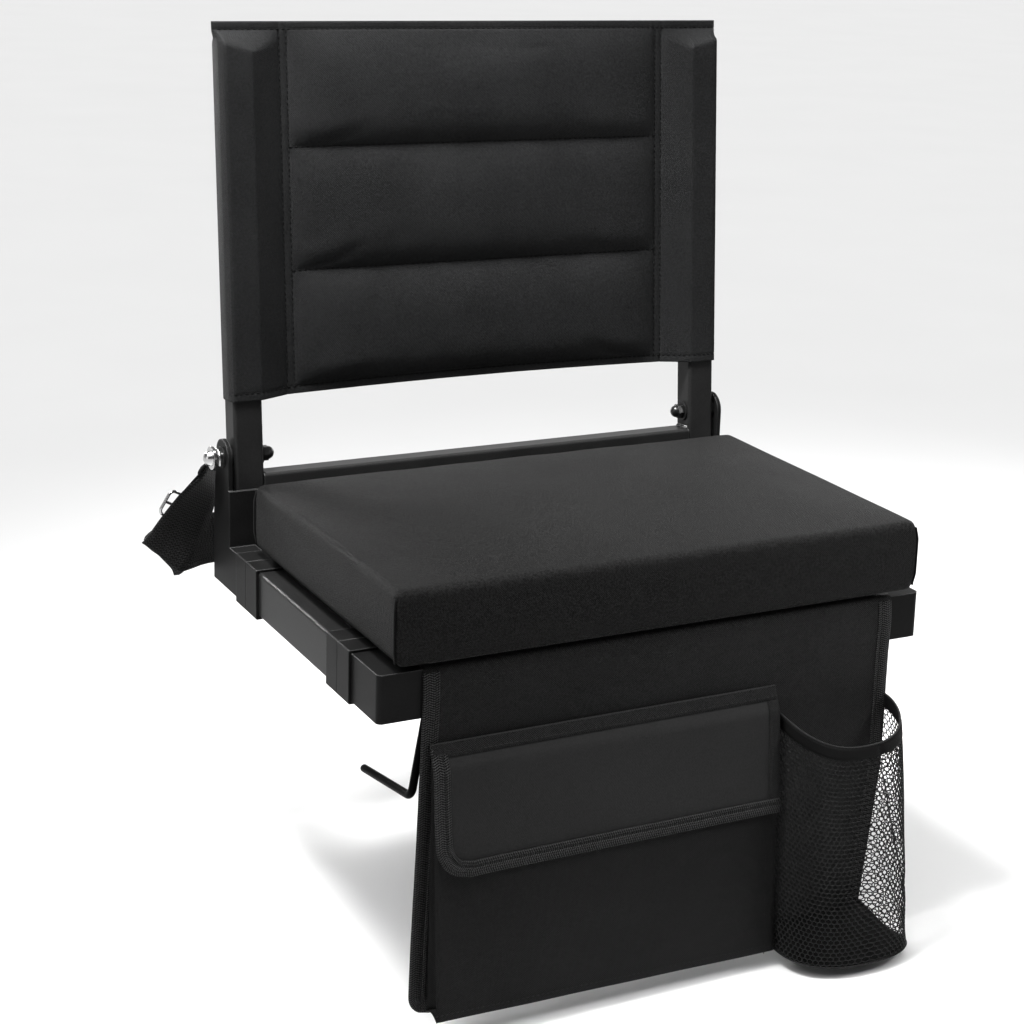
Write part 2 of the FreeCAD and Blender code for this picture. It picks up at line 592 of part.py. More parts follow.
front_bar = tube("front_bar_tube", "X", "Sizes.rail_width", "Sizes.rail_height",
                 f"2 * ({BAR_END} - Sizes.joint_gap)")
node(position(front_bar, f"-({BAR_END} - Sizes.joint_gap)", FRONT, BASE), "front_bar")
rear_bar = tube("rear_bar_tube", "X", "Sizes.rail_width", "Sizes.rail_height",
                f"2 * ({FOOT_INNER} - Sizes.joint_gap)")
position(rear_bar, f"-({FOOT_INNER} - Sizes.joint_gap)", f"{REAR} - Sizes.rail_width", BASE)
node(rear_bar, "rear_bar")
node(group("collar_screw_group", collar_screws), "collar_screws")

# Seat board on the frame and slats, under the cushion, notched round the collars and held by six screws
# whose heads lie flush.
deck = plate("deck", "Z", [(f"-{DECK_HALF}", "0"), (DECK_HALF, "0"), (DECK_HALF, DECK_DEPTH),
                           (f"-{DECK_HALF}", DECK_DEPTH)], "Sizes.deck_thickness")
round_edges(deck, "Sizes.deck_round", lambda edge: along(edge, "Z"), "deck_corners")
position(deck, "0", f"{FRONT} + Sizes.deck_front_gap", TOP)
deck_holes, deck_shanks, deck_heads = [], [], []
NOTCH_IN = f"({RAIL_INNER} - Sizes.collar_proud - Sizes.deck_notch_gap)"
COLLARS = (("front", f"({FRONT} + Sizes.front_collar_start)", "Sizes.front_collar_length"),
           ("rear", f"({REAR} - Sizes.rear_collar_end - Sizes.rear_collar_length)", "Sizes.rear_collar_length"))
for label, side in SIDES:
    for place, start, long in COLLARS:
        notch = box(f"deck_notch_{place}_{label}", low_x(side, NOTCH_IN, DECK_HALF),
                    f"{start} - Sizes.deck_notch_gap", TOP, f"{DECK_HALF} - {NOTCH_IN}",
                    f"{long} + 2 * Sizes.deck_notch_gap", "Sizes.deck_thickness")
        deck_holes.append(notch)
    deck_holes += deck_cylinders(f"deck_hole_{label}", side, HOLE, TOP, "Sizes.deck_thickness")
    deck_holes += deck_cylinders(f"deck_sink_{label}", side, SINK, HEAD_LOW, "Sizes.screw_head_height")
    deck_shanks += deck_cylinders(f"deck_shank_{label}", side, "Sizes.screw_shank / 2", SLAT_SKIN,
                                  f"{HEAD_LOW} - {SLAT_SKIN}")
    deck_heads += deck_cylinders(f"deck_head_{label}", side, "Sizes.screw_head / 2", HEAD_LOW,
                                 "Sizes.screw_head_height - Sizes.screw_gap")
node(cut("deck_drilled", deck, fuse("deck_spaces", deck_holes)), "seat_deck")
board_screws = [fuse(f"deck_screw_{number}", list(pair))
                for number, pair in enumerate(zip(deck_shanks, deck_heads))]
node(group("deck_screw_group", board_screws), "deck_screws")


# Cushion: stacked rounded outlines give drawn-in lower edges, a crisp upper edge and a crowned top.
def rounded_outline(half, y_low, y_high, radius, z):
    """Rectangle with round corners at one height."""
    slack = radius * (1 - math.sqrt(0.5))
    edges = []
    corners = [(half, y_low, -1), (half, y_high, 0), (-half, y_high, 1), (-half, y_low, 2)]
    turns = {-1: (0, -1, 1, 0), 0: (1, 0, 0, 1), 1: (0, 1, -1, 0), 2: (-1, 0, 0, -1)}
    spots = []
    for x, y, turn in corners:
        sx, sy = (1 if x > 0 else -1), (1 if y == y_high else -1)
        first = vec(x - sx * radius, y, z) if turn in (-1, 1) else vec(x, y - sy * radius, z)
        last = vec(x, y - sy * radius, z) if turn in (-1, 1) else vec(x - sx * radius, y, z)
        spots.append((first, vec(x - sx * slack, y - sy * slack, z), last))
    for number, (first, middle, last) in enumerate(spots):
        edges.append(Part.Arc(first, middle, last).toShape())
        edges.append(Part.makeLine(last, spots[(number + 1) % 4][0]))
    return Part.Wire(edges)


def cushion_form(inset):
    """Closed cushion form, drawn in all round by an inset."""
    half = value(HALF) - size("cushion_inset") - inset
    y_low = value(FRONT) - size("cushion_overhang") + inset
    y_high = value(REAR) - size("cushion_rear_gap") - inset
    z_low, z_high = value(DECK_TOP) + inset, value(DECK_TOP) + size("cushion_height") - inset
    edge, corner, crown = size("cushion_edge"), size("cushion_corner"), size("cushion_crown")
    reach = min(half, (y_high - y_low) / 2) - edge
    levels = [(z_low, edge), (z_low + 0.3 * edge, 0.35 * edge), (z_low + edge, 0),
              (z_high - edge, 0), (z_high - 0.3 * edge, 0.3 * edge), (z_high, edge),
              (z_high + 0.55 * crown, edge + 0.31 * reach), (z_high + 0.9 * crown, edge + 0.62 * reach),
              (z_high + crown, edge + 0.83 * reach)]
    wires = []
    for z, draw in levels:
        turn = max(corner - 0.4 * min(draw, edge), 4)
        wires.append(rounded_outline(half - draw, y_low + draw, y_high - draw, turn, z))
    return Part.makeLoft(wires, True, True)


foam_form = cushion_form(size("cover_cloth"))
node(solid("cushion_cover_form", cushion_form(0).cut(foam_form)), "cushion_cover")
node(solid("cushion_foam_form", foam_form), "cushion_foam")

# Hinge: a bolt through ear and upright on each side, with washers and a dome nut; the left one carries
# the strap spool.
bolts, nuts, washers = [], [], []
for label, side in SIDES:
    extra = "(Sizes.spool_length + Sizes.cap_height)" if side < 0 else "0"
    head_in = f"({HALF} + Sizes.face_washer + {extra})"
    nut_out = f"({UPRIGHT_IN} - Sizes.running_gap - Sizes.face_washer)"
    nut_in = f"({nut_out} - Sizes.nut_height)"
    shank = cylinder(f"bolt_shank_{label}", "X", low_x(side, nut_in, head_in), PIVOT_Y, PIVOT_Z,
                     "Sizes.bolt_diameter / 2", f"{head_in} - {nut_in}")
    head = solid(f"bolt_head_{label}", Part.makeSphere(1))
    dome = size("bolt_head") / 2
    rise = size("bolt_head_height")
    ball = (dome * dome + rise * rise) / (2 * rise)
    centre = vec(side * (value(head_in) + rise - ball), value(PIVOT_Y), value(PIVOT_Z))
    seat_point = vec(side * value(head_in), centre.y, centre.z)
    keep = Part.makeCylinder(dome + 1, rise + 1, seat_point, vec(side, 0, 0))
    head.Shape = Part.makeSphere(ball, centre).common(keep)
    bolts.append(fuse(f"bolt_{label}", [shank, head]))

    across = size("nut_width") / math.sqrt(3)
    turns = [math.radians(60 * k) for k in range(7)]
    ring = [vec(0, across * math.cos(turn), across * math.sin(turn)) for turn in turns]
    hexagon = Part.Face(Part.makePolygon(ring)).extrude(vec(size("nut_height"), 0, 0))
    hexagon.translate(vec(value(low_x(side, nut_in, nut_out)), value(PIVOT_Y), value(PIVOT_Z)))
    cap_centre = vec(side * value(nut_in), value(PIVOT_Y), value(PIVOT_Z))
    cap_room = Part.makeCylinder(across + 1, across + 1, cap_centre, vec(-side, 0, 0))
    cap = Part.makeSphere(0.48 * size("nut_width"), cap_centre).common(cap_room)
    shell = hexagon.fuse(cap).removeSplitter()
    bore = Part.makeCylinder(size("bolt_diameter") / 2, size("nut_height"), vec(
        value(low_x(side, nut_in, nut_out)), value(PIVOT_Y), value(PIVOT_Z)), vec(1, 0, 0))
    nuts.append(solid(f"nut_{label}", shell.cut(bore)))

    gap_outer = "(Sizes.upright_gap - Sizes.running_gap)"
    rings = [(f"({UPRIGHT_OUT} + Sizes.running_gap)", gap_outer), (nut_out, "Sizes.face_washer"),
             (HALF, "Sizes.face_washer")]
    for number, (inner, thick) in enumerate(rings):
        start = low_x(side, inner, f"({inner} + {thick})")
        disc = cylinder(f"washer_disc_{number}_{label}", "X", start, PIVOT_Y, PIVOT_Z,
                        "Sizes.washer_diameter / 2", thick)
        hole = cylinder(f"washer_hole_{number}_{label}", "X", start, PIVOT_Y, PIVOT_Z,
                        "Sizes.bolt_diameter / 2 + Sizes.screw_gap", thick)
        washers.append(cut(f"washer_{number}_{label}", disc, hole))
node(group("bolt_group", bolts), "pivot_bolts")
node(group("nut_group", nuts), "pivot_nuts")
node(group("washer_group", washers), "pivot_washers")

spool_x = f"-({HALF} + Sizes.face_washer + Sizes.spool_length)"
cap_x = f"-({HALF} + Sizes.face_washer + Sizes.spool_length + Sizes.cap_height)"
spool = cylinder("spool_core", "X", spool_x, PIVOT_Y, PIVOT_Z,
                 "Sizes.spool_diameter / 2", "Sizes.spool_length")
rim = cylinder("spool_rim", "X", cap_x, PIVOT_Y, PIVOT_Z, "Sizes.cap_diameter / 2", "Sizes.cap_height")
spool_hole = cylinder("spool_hole", "X", cap_x, PIVOT_Y, PIVOT_Z,
                      "Sizes.bolt_diameter / 2 + Sizes.screw_gap", "Sizes.spool_length + Sizes.cap_height")
node(cut("spool", fuse("spool_raw", [spool, rim]), spool_hole), "strap_spool")

# Backrest: built upright about the pivot axis, then leaned back as one.
LEANED = FreeCAD.Rotation(vec(1, 0, 0), -size("back_lean"))


def lean(obj):
    """Put a backrest piece into its leaning place; Y and Z stay bound to the pivot."""
    obj.Placement = FreeCAD.Placement(obj.Placement.Base, LEANED)
    obj.setExpression("Placement.Base.y", PIVOT_Y)
    obj.setExpression("Placement.Base.z", PIVOT_Z)
    return obj


for label, side in SIDES:
    upright = tube(f"upright_tube_{label}", "Z", "Sizes.upright_width", "Sizes.upright_depth",
                   f"Sizes.upright_below + {UPRIGHT_ABOVE}")
    position(upright, low_x(side, UPRIGHT_IN, UPRIGHT_OUT), "-Sizes.upright_depth / 2",
             "-Sizes.upright_below")
    way_x = low_x(side, UPRIGHT_IN, UPRIGHT_OUT)
    bolt_way = cylinder(f"upright_bolt_way_{label}", "X", way_x, "0", "0",
                        "Sizes.bolt_diameter / 2 + Sizes.bolt_gap", "Sizes.upright_width")
    node(lean(cut(f"upright_{label}", upright, bolt_way)), f"upright_{label}")

crossbar = tube("crossbar_tube", "X", "Sizes.upright_depth", "Sizes.crossbar_height",
                f"2 * {UPRIGHT_IN}")
position(crossbar, f"-{UPRIGHT_IN}", "-Sizes.upright_depth / 2",
         "-Sizes.crossbar_drop - Sizes.crossbar_height")
node(lean(group("crossbar_placed", [crossbar])), "back_crossbar")

# Weld beads on top of and below the crossbar ends, each a three-sided fillet.
beads = []
for label, side in SIDES:
    inner = value(UPRIGHT_IN)
    leg = size("weld_leg")
    long = size("upright_depth") - 2 * size("tube_corner")
    upper = -size("crossbar_drop")
    lower = upper - size("crossbar_height")
    for level, up in ((upper, 1), (lower, -1)):
        tri = [vec(side * inner, -long / 2, level), vec(side * (inner - leg), -long / 2, level),
               vec(side * inner, -long / 2, level + up * leg), vec(side * inner, -long / 2, level)]
        beads.append(Part.Face(Part.makePolygon(tri)).extrude(vec(0, long, 0)))
node(lean(solid("weld_beads", Part.makeCompound(beads))), "crossbar_welds")


def plugs(name, level, up):
    """Push-in end plugs of both uprights: a flange over the tube end and a stem inside it."""
    made = []
    wide, deep = "Sizes.upright_width", "Sizes.upright_depth"
    for label, side in SIDES:
        x = low_x(side, UPRIGHT_IN, UPRIGHT_OUT)
        flange_z = level if up > 0 else f"{level} - Sizes.plug_head"
        stem_z = f"{level} - Sizes.plug_depth" if up > 0 else level
        flange = box(f"{name}_flange_{label}", x, f"-{deep} / 2", flange_z, wide, deep, "Sizes.plug_head")
        stem = box(f"{name}_stem_{label}", f"{x} + {PLUG_INSET}", f"-{deep} / 2 + {PLUG_INSET}", stem_z,
                   f"{wide} - 2 * {PLUG_INSET}", f"{deep} - 2 * {PLUG_INSET}", "Sizes.plug_depth")
        made.append(fuse(f"{name}_{label}", [flange, stem]))
    return lean(group(f"{name}_group", made))


node(plugs("top_plug", UPRIGHT_ABOVE, 1), "upright_caps")
node(plugs("bottom_plug", "(-Sizes.upright_below)", -1), "upright_feet")


# Backrest cover: a drop-shaped sleeve on each upright and three padded channels between the stitch lines.
def prism(points, low, high):
    """Upright prism over a plan outline."""
    ring = [vec(x, y, low) for x, y in points + points[:1]]
    return Part.Face(Part.makePolygon(ring)).extrude(vec(0, 0, high - low))


def sleeve(side):
    """Cloth round one upright, drawn to the stitch line and closed to a flat seam at the top."""
    cloth, gap = size("cover_cloth"), size("sleeve_gap")
    inner, outer = value(UPRIGHT_IN), value(UPRIGHT_OUT)
    room = size("upright_depth") / 2 + gap
    stitch, seam = value(STITCH), size("seam_thickness") / 2
    low, high = size("cover_bottom"), size("cover_top")
    shoulder = value(UPRIGHT_ABOVE) + size("plug_head") + gap
    skin = [(outer + gap + cloth, -room - cloth), (inner - gap, -room - cloth), (stitch, -seam),
            (stitch, seam), (inner - gap, room + cloth), (outer + gap + cloth, room + cloth)]
    hollow = [(outer + gap, -room), (inner - gap, -room), (stitch + 3 * cloth, -0.4),
              (stitch + 3 * cloth, 0.4), (inner - gap, room), (outer + gap, room)]
    flat = [(x, math.copysign(seam, y)) for x, y in skin]
    plan = [(side * x, y) for x, y in skin]
    body = prism(plan, low, shoulder)
    closing = Part.makeLoft([Part.makePolygon([vec(side * x, y, level) for x, y in ring + ring[:1]])
                             for ring, level in ((skin, shoulder), (flat, high))], True, True)
    inside = prism([(side * x, y) for x, y in hollow], low, shoulder)
    return body.fuse(closing).cut(inside)


def channel(low, high, inset):
    """Pillow between two cross seams, tapered to the stitch lines at its ends."""
    seam = size("seam_thickness") / 2 - inset
    stitch, taper = value(STITCH), size("channel_end")
    front, back = size("channel_front") - inset, size("channel_back") - inset
    low, high = low + inset, high - inset
    middle = (low + high) / 2
    wires = []
    ends = (-stitch + inset, 0.02), (stitch - inset, 0.02)
    for x, swell in (ends[0], (-stitch + taper, 1), (stitch - taper, 1), ends[1]):
        fore, aft = -seam - swell * front, seam + swell * back
        corners = [vec(x, -seam, low), vec(x, -seam, high), vec(x, seam, high), vec(x, seam, low)]
        wires.append(Part.Wire([Part.Arc(corners[0], vec(x, fore, middle), corners[1]).toShape(),
                                Part.makeLine(corners[1], corners[2]),
                                Part.Arc(corners[2], vec(x, aft, middle), corners[3]).toShape(),
                                Part.makeLine(corners[3], corners[0])]))
    return Part.makeLoft(wires, True, True)


pitch = (size("cover_top") - size("cover_bottom")) / 3
spans = [(size("cover_bottom") + k * pitch, size("cover_bottom") + (k + 1) * pitch) for k in range(3)]
pads = [channel(low, high, size("cover_cloth") * 0.7) for low, high in spans]
cover = sleeve(-1).fuse([sleeve(1)] + [channel(low, high, 0) for low, high in spans])
node(lean(solid("back_cover_form", cover.cut(Part.makeCompound(pads)).removeSplitter())), "back_cover")
node(lean(solid("back_pad_forms", Part.makeCompound(pads))), "back_pads")

# Bench hooks: bent wire that swings about its journal in a block under the seat board.
for label, side in SIDES:
    radius = size("hook_rod") / 2
    slope = math.radians(size("hook_open"))
    stem_y = -radius
    end = vec(0, stem_y + size("hook_leg") * math.cos(slope),
              -size("hook_drop") - size("hook_leg") * math.sin(slope))
    path = [vec(0, stem_y + size("hook_journal"), 0), vec(0, stem_y, 0),
            vec(0, stem_y, -size("hook_drop")), end]
    wire = rod(path, [size("hook_bend")] * 2, radius).fuse(Part.makeSphere(radius, end)).removeSplitter()
    hook = solid(f"hook_{label}", wire)
    swing = FreeCAD.Rotation(vec(0, 1, 0), -side * size("hook_tilt"))
    hook.Placement = FreeCAD.Placement(vec(0, 0, 0), swing)
    journal_x = f"{side} * {HOOK_X}"
    node(position(hook, journal_x, "0", "Sizes.hook_height"), f"bench_hook_{label}")

    block_half, block_top = "Sizes.block_width / 2", f"{TOP} - Sizes.hook_height"
    block = plate(f"hook_block_{label}", "Y", [
        (f"-{block_half}", "-Sizes.hook_rod"), (block_half, "-Sizes.hook_rod"),
        (block_half, block_top), (f"-{block_half}", block_top)], "Sizes.block_length")
    round_edges(block, "Sizes.hook_bend / 3", lambda edge: along(edge, "Y") and edge.CenterOfMass.z < 0,
                f"hook_block_round_{label}")
    bore_sketch = new_sketch(block, "Y", f"hook_bore_{label}")
    circle(bore_sketch, "0", "0", "Sizes.hook_rod / 2 + Sizes.hook_gap")
    bore = block.newObject("PartDesign::Pocket", f"hook_bore_cut_{label}")
    bore.Profile = bore_sketch
    bore.Type = "ThroughAll"
    bore.Midplane = True
    block.Tip = bore
    node(position(block, journal_x, "Sizes.block_start", "Sizes.hook_height"), f"hook_block_{label}")

    cap_y = "(Sizes.block_start + Sizes.block_length + Sizes.running_gap)"
    cap = cylinder(f"retainer_disc_{label}", "Y", journal_x, cap_y, "Sizes.hook_height",
                   "Sizes.retainer_diameter / 2", "Sizes.retainer_length")
    way = cylinder(f"retainer_hole_{label}", "Y", journal_x, cap_y, "Sizes.hook_height",
                   "Sizes.hook_rod / 2", "Sizes.retainer_length")
    node(cut(f"retainer_{label}", cap, way), f"hook_retainer_{label}")

# Apron: a fixed header over the front bar and a hanging panel below it.
APRON_WIDE = f"({APRON_LEFT} + {APRON_RIGHT})"
header = plate("header", "X", [
    (FRONT, BASE), (FRONT, TOP), (f"{FRONT} + Sizes.header_return", TOP),
    (f"{FRONT} + Sizes.header_return", f"{TOP} + Sizes.apron_cloth * 0.75"),
    (HEADER_FACE, f"{TOP} + Sizes.apron_cloth * 0.75"), (HEADER_FACE, BASE)], APRON_WIDE)
node(position(header, f"-{APRON_LEFT}", "0", "0"), "apron_header")
strip_half = f"({APRON_RIGHT} - Sizes.binding_width)"
strip = box("strip", f"-{strip_half}", f"{FRONT} + (Sizes.header_return - Sizes.strip_width) / 2",
            f"{TOP} + Sizes.apron_cloth * 0.75", f"2 * {strip_half}", "Sizes.strip_width",
            "Sizes.strip_thickness")
node(strip, "apron_clamp_strip")

PANEL_TOP = f"({BASE} - Sizes.fold_gap)"
panel = plate("panel", "Y", [
    (f"-{APRON_LEFT}", "-Sizes.apron_drop"), (APRON_RIGHT, "-Sizes.apron_drop"),
    (APRON_RIGHT, PANEL_TOP), (f"-{APRON_LEFT}", PANEL_TOP)], "Sizes.apron_cloth")
round_edges(panel, "Sizes.apron_corner", lambda edge: along(edge, "Y") and edge.CenterOfMass.z < 0,
            "panel_corners")
node(position(panel, "0", PANEL_FACE, "0"), "apron_panel")

BINDING_Y = f"({PANEL_FACE} - Sizes.binding_thickness)"
left_low = "(-Sizes.apron_drop + Sizes.apron_corner)"
left_tape = box("left_tape", f"-{APRON_LEFT}", BINDING_Y, left_low, "Sizes.binding_width",
                "Sizes.binding_thickness", f"{PANEL_TOP} - {left_low}")
right_low = "(-Sizes.pouch_top + 1)"
right_tape = box("right_tape", f"{APRON_RIGHT} - Sizes.binding_width", BINDING_Y, right_low,
                 "Sizes.binding_width", "Sizes.binding_thickness", f"{PANEL_TOP} - {right_low}")
node(group("tape_group", [left_tape, right_tape]), "apron_binding")

# Cargo pocket: a wedge of cloth open at its mouth, with the panel as its back.
POCKET_WIDE = f"({POCKET_LEFT} + {POCKET_RIGHT})"
MOUTH_Y = f"({PANEL_FACE} - Sizes.pocket_mouth)"
FLOOR_Y = f"({PANEL_FACE} - Sizes.pocket_base)"
pocket_skin = plate("pocket_skin", "X", [
    (PANEL_FACE, "-Sizes.pocket_bottom"), (PANEL_FACE, "-Sizes.pocket_top"), (MOUTH_Y, "-Sizes.pocket_top"),
    (FLOOR_Y, "-Sizes.pocket_bottom")], POCKET_WIDE)
position(pocket_skin, f"-{POCKET_LEFT}", "0", "0")
cloth = "Sizes.pocket_cloth"
pocket_room = plate("pocket_room", "X", [
    (PANEL_FACE, f"-Sizes.pocket_bottom + {cloth}"), (PANEL_FACE, "-Sizes.pocket_top"),
    (f"{MOUTH_Y} + {cloth}", "-Sizes.pocket_top"),
    (f"{FLOOR_Y} + {cloth}", f"-Sizes.pocket_bottom + {cloth}")], f"{POCKET_WIDE} - 2 * {cloth}")
position(pocket_room, f"-{POCKET_LEFT} + {cloth}", "0", "0")
node(cut("pocket", pocket_skin, pocket_room), "cargo_pocket")

# Flap over the mouth: leaves the seam forwards, then hangs parallel to the pocket face.
slope_in = "((Sizes.pocket_base - Sizes.pocket_mouth) / (Sizes.pocket_bottom - Sizes.pocket_top))"
patch_room = "(2 * Sizes.patch_thickness + Sizes.patch_gap)"


def pocket_face(level):
    """Y of the pocket face at a depth below the bench."""
    return f"({MOUTH_Y} - {slope_in} * ({level} - Sizes.pocket_top))"


SEAM_Y = f"({PANEL_FACE} - 0.4)"
FLAP_X = f"(-{POCKET_LEFT} - 1)"
FLAP_WIDE = f"({POCKET_WIDE} + 2)"
BEND_BACK = f"({pocket_face('Sizes.flap_bend')} - {patch_room})"
EDGE_BACK = f"({pocket_face('Sizes.flap_bottom')} - {patch_room})"


def flap_layer(name, start, thick, x, wide):
    """Bent sheet that follows the flap from a distance in front of its back face."""
    far = f"({start} + {thick})"
    body = plate(name, "X", [
        (f"{SEAM_Y} - {start}", "-Sizes.flap_top"), (f"{SEAM_Y} - {far}", "-Sizes.flap_top"),
        (f"{BEND_BACK} - {far}", "-Sizes.flap_bend"), (f"{EDGE_BACK} - {far}", "-Sizes.flap_bottom"),
        (f"{EDGE_BACK} - {start}", "-Sizes.flap_bottom"),
        (f"{BEND_BACK} - {start}", "-Sizes.flap_bend")], wide)
    return position(body, x, "0", "0")


def flap_outline(name):
    """Block with the flap's front outline, its lower corners rounded."""
    body = plate(name, "Y", [
        (FLAP_X, "-Sizes.flap_bottom"), (f"{FLAP_X} + {FLAP_WIDE}", "-Sizes.flap_bottom"),
        (f"{FLAP_X} + {FLAP_WIDE}", "0"), (FLAP_X, "0")], "100")
    round_edges(body, "Sizes.flap_corner", lambda edge: along(edge, "Y") and edge.CenterOfMass.z < -1,
                name + "_corners")
    return position(body, "0", f"{PANEL_FACE} - 99", "0")


def common(name, first, second):
    result = doc.addObject("Part::Common", name)
    result.Base = first
    result.Tool = second
    return result


flap_sheet = flap_layer("flap_sheet", "0", "Sizes.flap_cloth", FLAP_X, FLAP_WIDE)
node(common("flap", flap_sheet, flap_outline("flap_outline")), "pocket_flap")
tape = flap_layer("flap_tape", "Sizes.flap_cloth", "Sizes.binding_thickness", FLAP_X, FLAP_WIDE)
window = box("flap_window", f"{FLAP_X} + Sizes.flap_binding", f"{PANEL_FACE} - 99",
             "-Sizes.flap_bottom + Sizes.flap_binding", f"{FLAP_WIDE} - 2 * Sizes.flap_binding", "100",
             "Sizes.flap_bottom")
tape_frame = cut("flap_tape_frame", tape, window)
node(common("flap_tape_trim", tape_frame, flap_outline("tape_outline")), "flap_binding")


def patches(name, offset):
    """Two closing patches that follow the pocket face at a distance in front of it."""
    made = []
    level = "(Sizes.flap_bottom - Sizes.flap_binding * 4 / 3)"
    upper = f"({level} - Sizes.patch_height)"
    middle = f"(({POCKET_RIGHT} - {POCKET_LEFT}) / 2)"
    low_y, high_y = f"({pocket_face(level)} - {offset})", f"({pocket_face(upper)} - {offset})"
    thick = "Sizes.patch_thickness"
    for number, sign in enumerate((-1, 1)):
        body = plate(f"{name}_{number}", "X", [
            (low_y, f"-{level}"), (high_y, f"-{upper}"), (f"{high_y} - {thick}", f"-{upper}"),
            (f"{low_y} - {thick}", f"-{level}")], "Sizes.patch_width")
        x = f"{middle} + {sign} * Sizes.patch_pitch / 2 - Sizes.patch_width / 2"
        made.append(position(body, x, "0", "0"))
    return group(name + "_group", made)


node(patches("loop_patch", "0"), "pocket_loop_patches")
node(patches("hook_patch", "(Sizes.patch_thickness + Sizes.patch_gap)"), "flap_hook_patches")


# Mesh pouch: an open bag that grows towards its floor, hung from an elastic band.
def pouch_outline(depth_below, inset):
    """Plan outline of the pouch at a depth below the bench."""
    share = (depth_below - size("pouch_top")) / (size("pouch_drop") - size("pouch_top"))
    left, right = value(POUCH_LEFT) + inset, value(POUCH_RIGHT) - inset
    reach = size("pouch_reach") + share * (size("pouch_base_reach") - size("pouch_reach")) - inset
    face = value(PANEL_FACE)
    bulge = share * size("pouch_bulge")
    z = -depth_below
    near_left, near_right = vec(left, face, z), vec(right, face, z)
    front = vec((left + right) / 2 + 0.4 * bulge, face - reach, z)
    side_left = vec(left + 0.1 * (right - left), face - 0.68 * reach, z)
    side_right = vec(right - 0.1 * (right - left) + bulge, face - 0.66 * reach, z)
    return Part.Wire([Part.Arc(near_left, side_left, front).toShape(),
                      Part.Arc(front, side_right, near_right).toShape(),
                      Part.makeLine(near_right, near_left)])


def pouch_wall(top, bottom, floor):
    """Bag wall between two depths, with or without a floor."""
    skin = size("pouch_cloth")
    outside = Part.makeLoft([pouch_outline(top, 0), pouch_outline(bottom, 0)], True, True)
    inside = Part.makeLoft([pouch_outline(top, skin), pouch_outline(bottom - floor, skin)], True, True)
    return outside.cut(inside)


band_low = size("pouch_top") + size("band_height")
net_form = pouch_wall(band_low, size("pouch_drop"), size("pouch_cloth"))
node(solid("pouch_net_form", net_form), "pouch_net")
node(solid("pouch_band_form", pouch_wall(size("pouch_top"), band_low, 0)), "pouch_band")

# Strap: flat webbing from the snap's loop, folded on the left and led behind the seat to the right bracket.
half_strap = size("strap_width") / 2
half_thick = size("strap_thickness") / 2
half_wire = size("wire_diameter") / 2
bracket_x = value(HALF)
rear = value(REAR)
run_y = rear + size("strap_slack")
rest = half_strap + size("strap_lift")
start_back = size("strap_start_back")
start_mid = vec(-bracket_x + half_thick, rear + start_back, size("strap_start_height"))
start_across = vec(27, 38, -33).normalize()
fold_mid = vec(-bracket_x - size("strap_fold_out"), rear + start_back, size("strap_fold_height"))
fold_across = vec(32.4, 0, -38.9).normalize()
stand = vec(0, 0, -1)
strap_path = [
    (start_mid, start_across),
    (start_mid * 0.72 + fold_mid * 0.28, start_across * 0.6 + fold_across * 0.4),
    (start_mid * 0.4 + fold_mid * 0.6, start_across * 0.25 + fold_across * 0.75),
    (start_mid * 0.12 + fold_mid * 0.88, fold_across),
    (fold_mid + vec(-1.5, 2, -1), fold_across),
    (fold_mid + vec(-1, 6.5, -0.5), fold_across),
    (fold_mid + vec(5, 10, 2), fold_across),
    (vec(-bracket_x * 1.07, run_y - 0.6 * half_strap, rest - 0.5), fold_across * 0.6 + stand * 0.4),
    (vec(-bracket_x * 0.98, run_y - 0.25 * half_strap, rest), fold_across * 0.15 + stand * 0.85),
    (vec(-bracket_x * 0.77, run_y, rest), stand),
    (vec(-bracket_x * 0.23, run_y + half_thick, rest), stand),
    (vec(bracket_x * 0.38, run_y, rest), stand),
    (vec(bracket_x * 0.6, run_y - 0.5 * half_strap, rest), stand),
    (vec(bracket_x * 0.77, rear + 0.56 * half_strap, rest), stand),
    (vec(bracket_x * 0.865, rear + 3.8 * half_thick, rest), stand),
    (vec(bracket_x * 0.91, rear + half_thick + 0.1, rest), stand),
    (vec(bracket_x * 0.989, rear + half_thick + 0.1, rest), stand),
]


def ribbon(stations):
    """Flat strap through stations of a middle point and a width direction."""
    rings = []
    for number, (middle, across) in enumerate(stations):
        before = stations[max(number - 1, 0)][0]
        after = stations[min(number + 1, len(stations) - 1)][0]
        heading = (after - before).normalize()
        across = (across - heading * across.dot(heading)).normalize()
        normal = heading.cross(across).normalize()
        wide, thick = across * half_strap, normal * half_thick
        back, face = middle - thick, middle + thick
        rings.append([back - wide, back + wide, face + wide, face - wide])
    corners = [tuple(reversed(rings[0])), tuple(rings[-1])]
    for ring, following in zip(rings, rings[1:]):
        corners.append((ring[0], ring[1], following[1], following[0]))
        corners.append((ring[1], ring[2], following[2], following[1]))
        corners.append((ring[3], following[3], following[2], ring[2]))
        corners.append((ring[3], ring[0], following[0], following[3]))
    faces = []
    for one, two, three, four in corners:
        faces.append(Part.Face(Part.makePolygon([one, two, three, one])))
        faces.append(Part.Face(Part.makePolygon([one, three, four, one])))
    shell = Part.makeShell(faces)
    shell.sewShape()
    form = Part.makeSolid(shell)
    return form if form.Volume > 0 else form.reversed()


node(solid("strap_form", ribbon(strap_path)), "shoulder_strap")

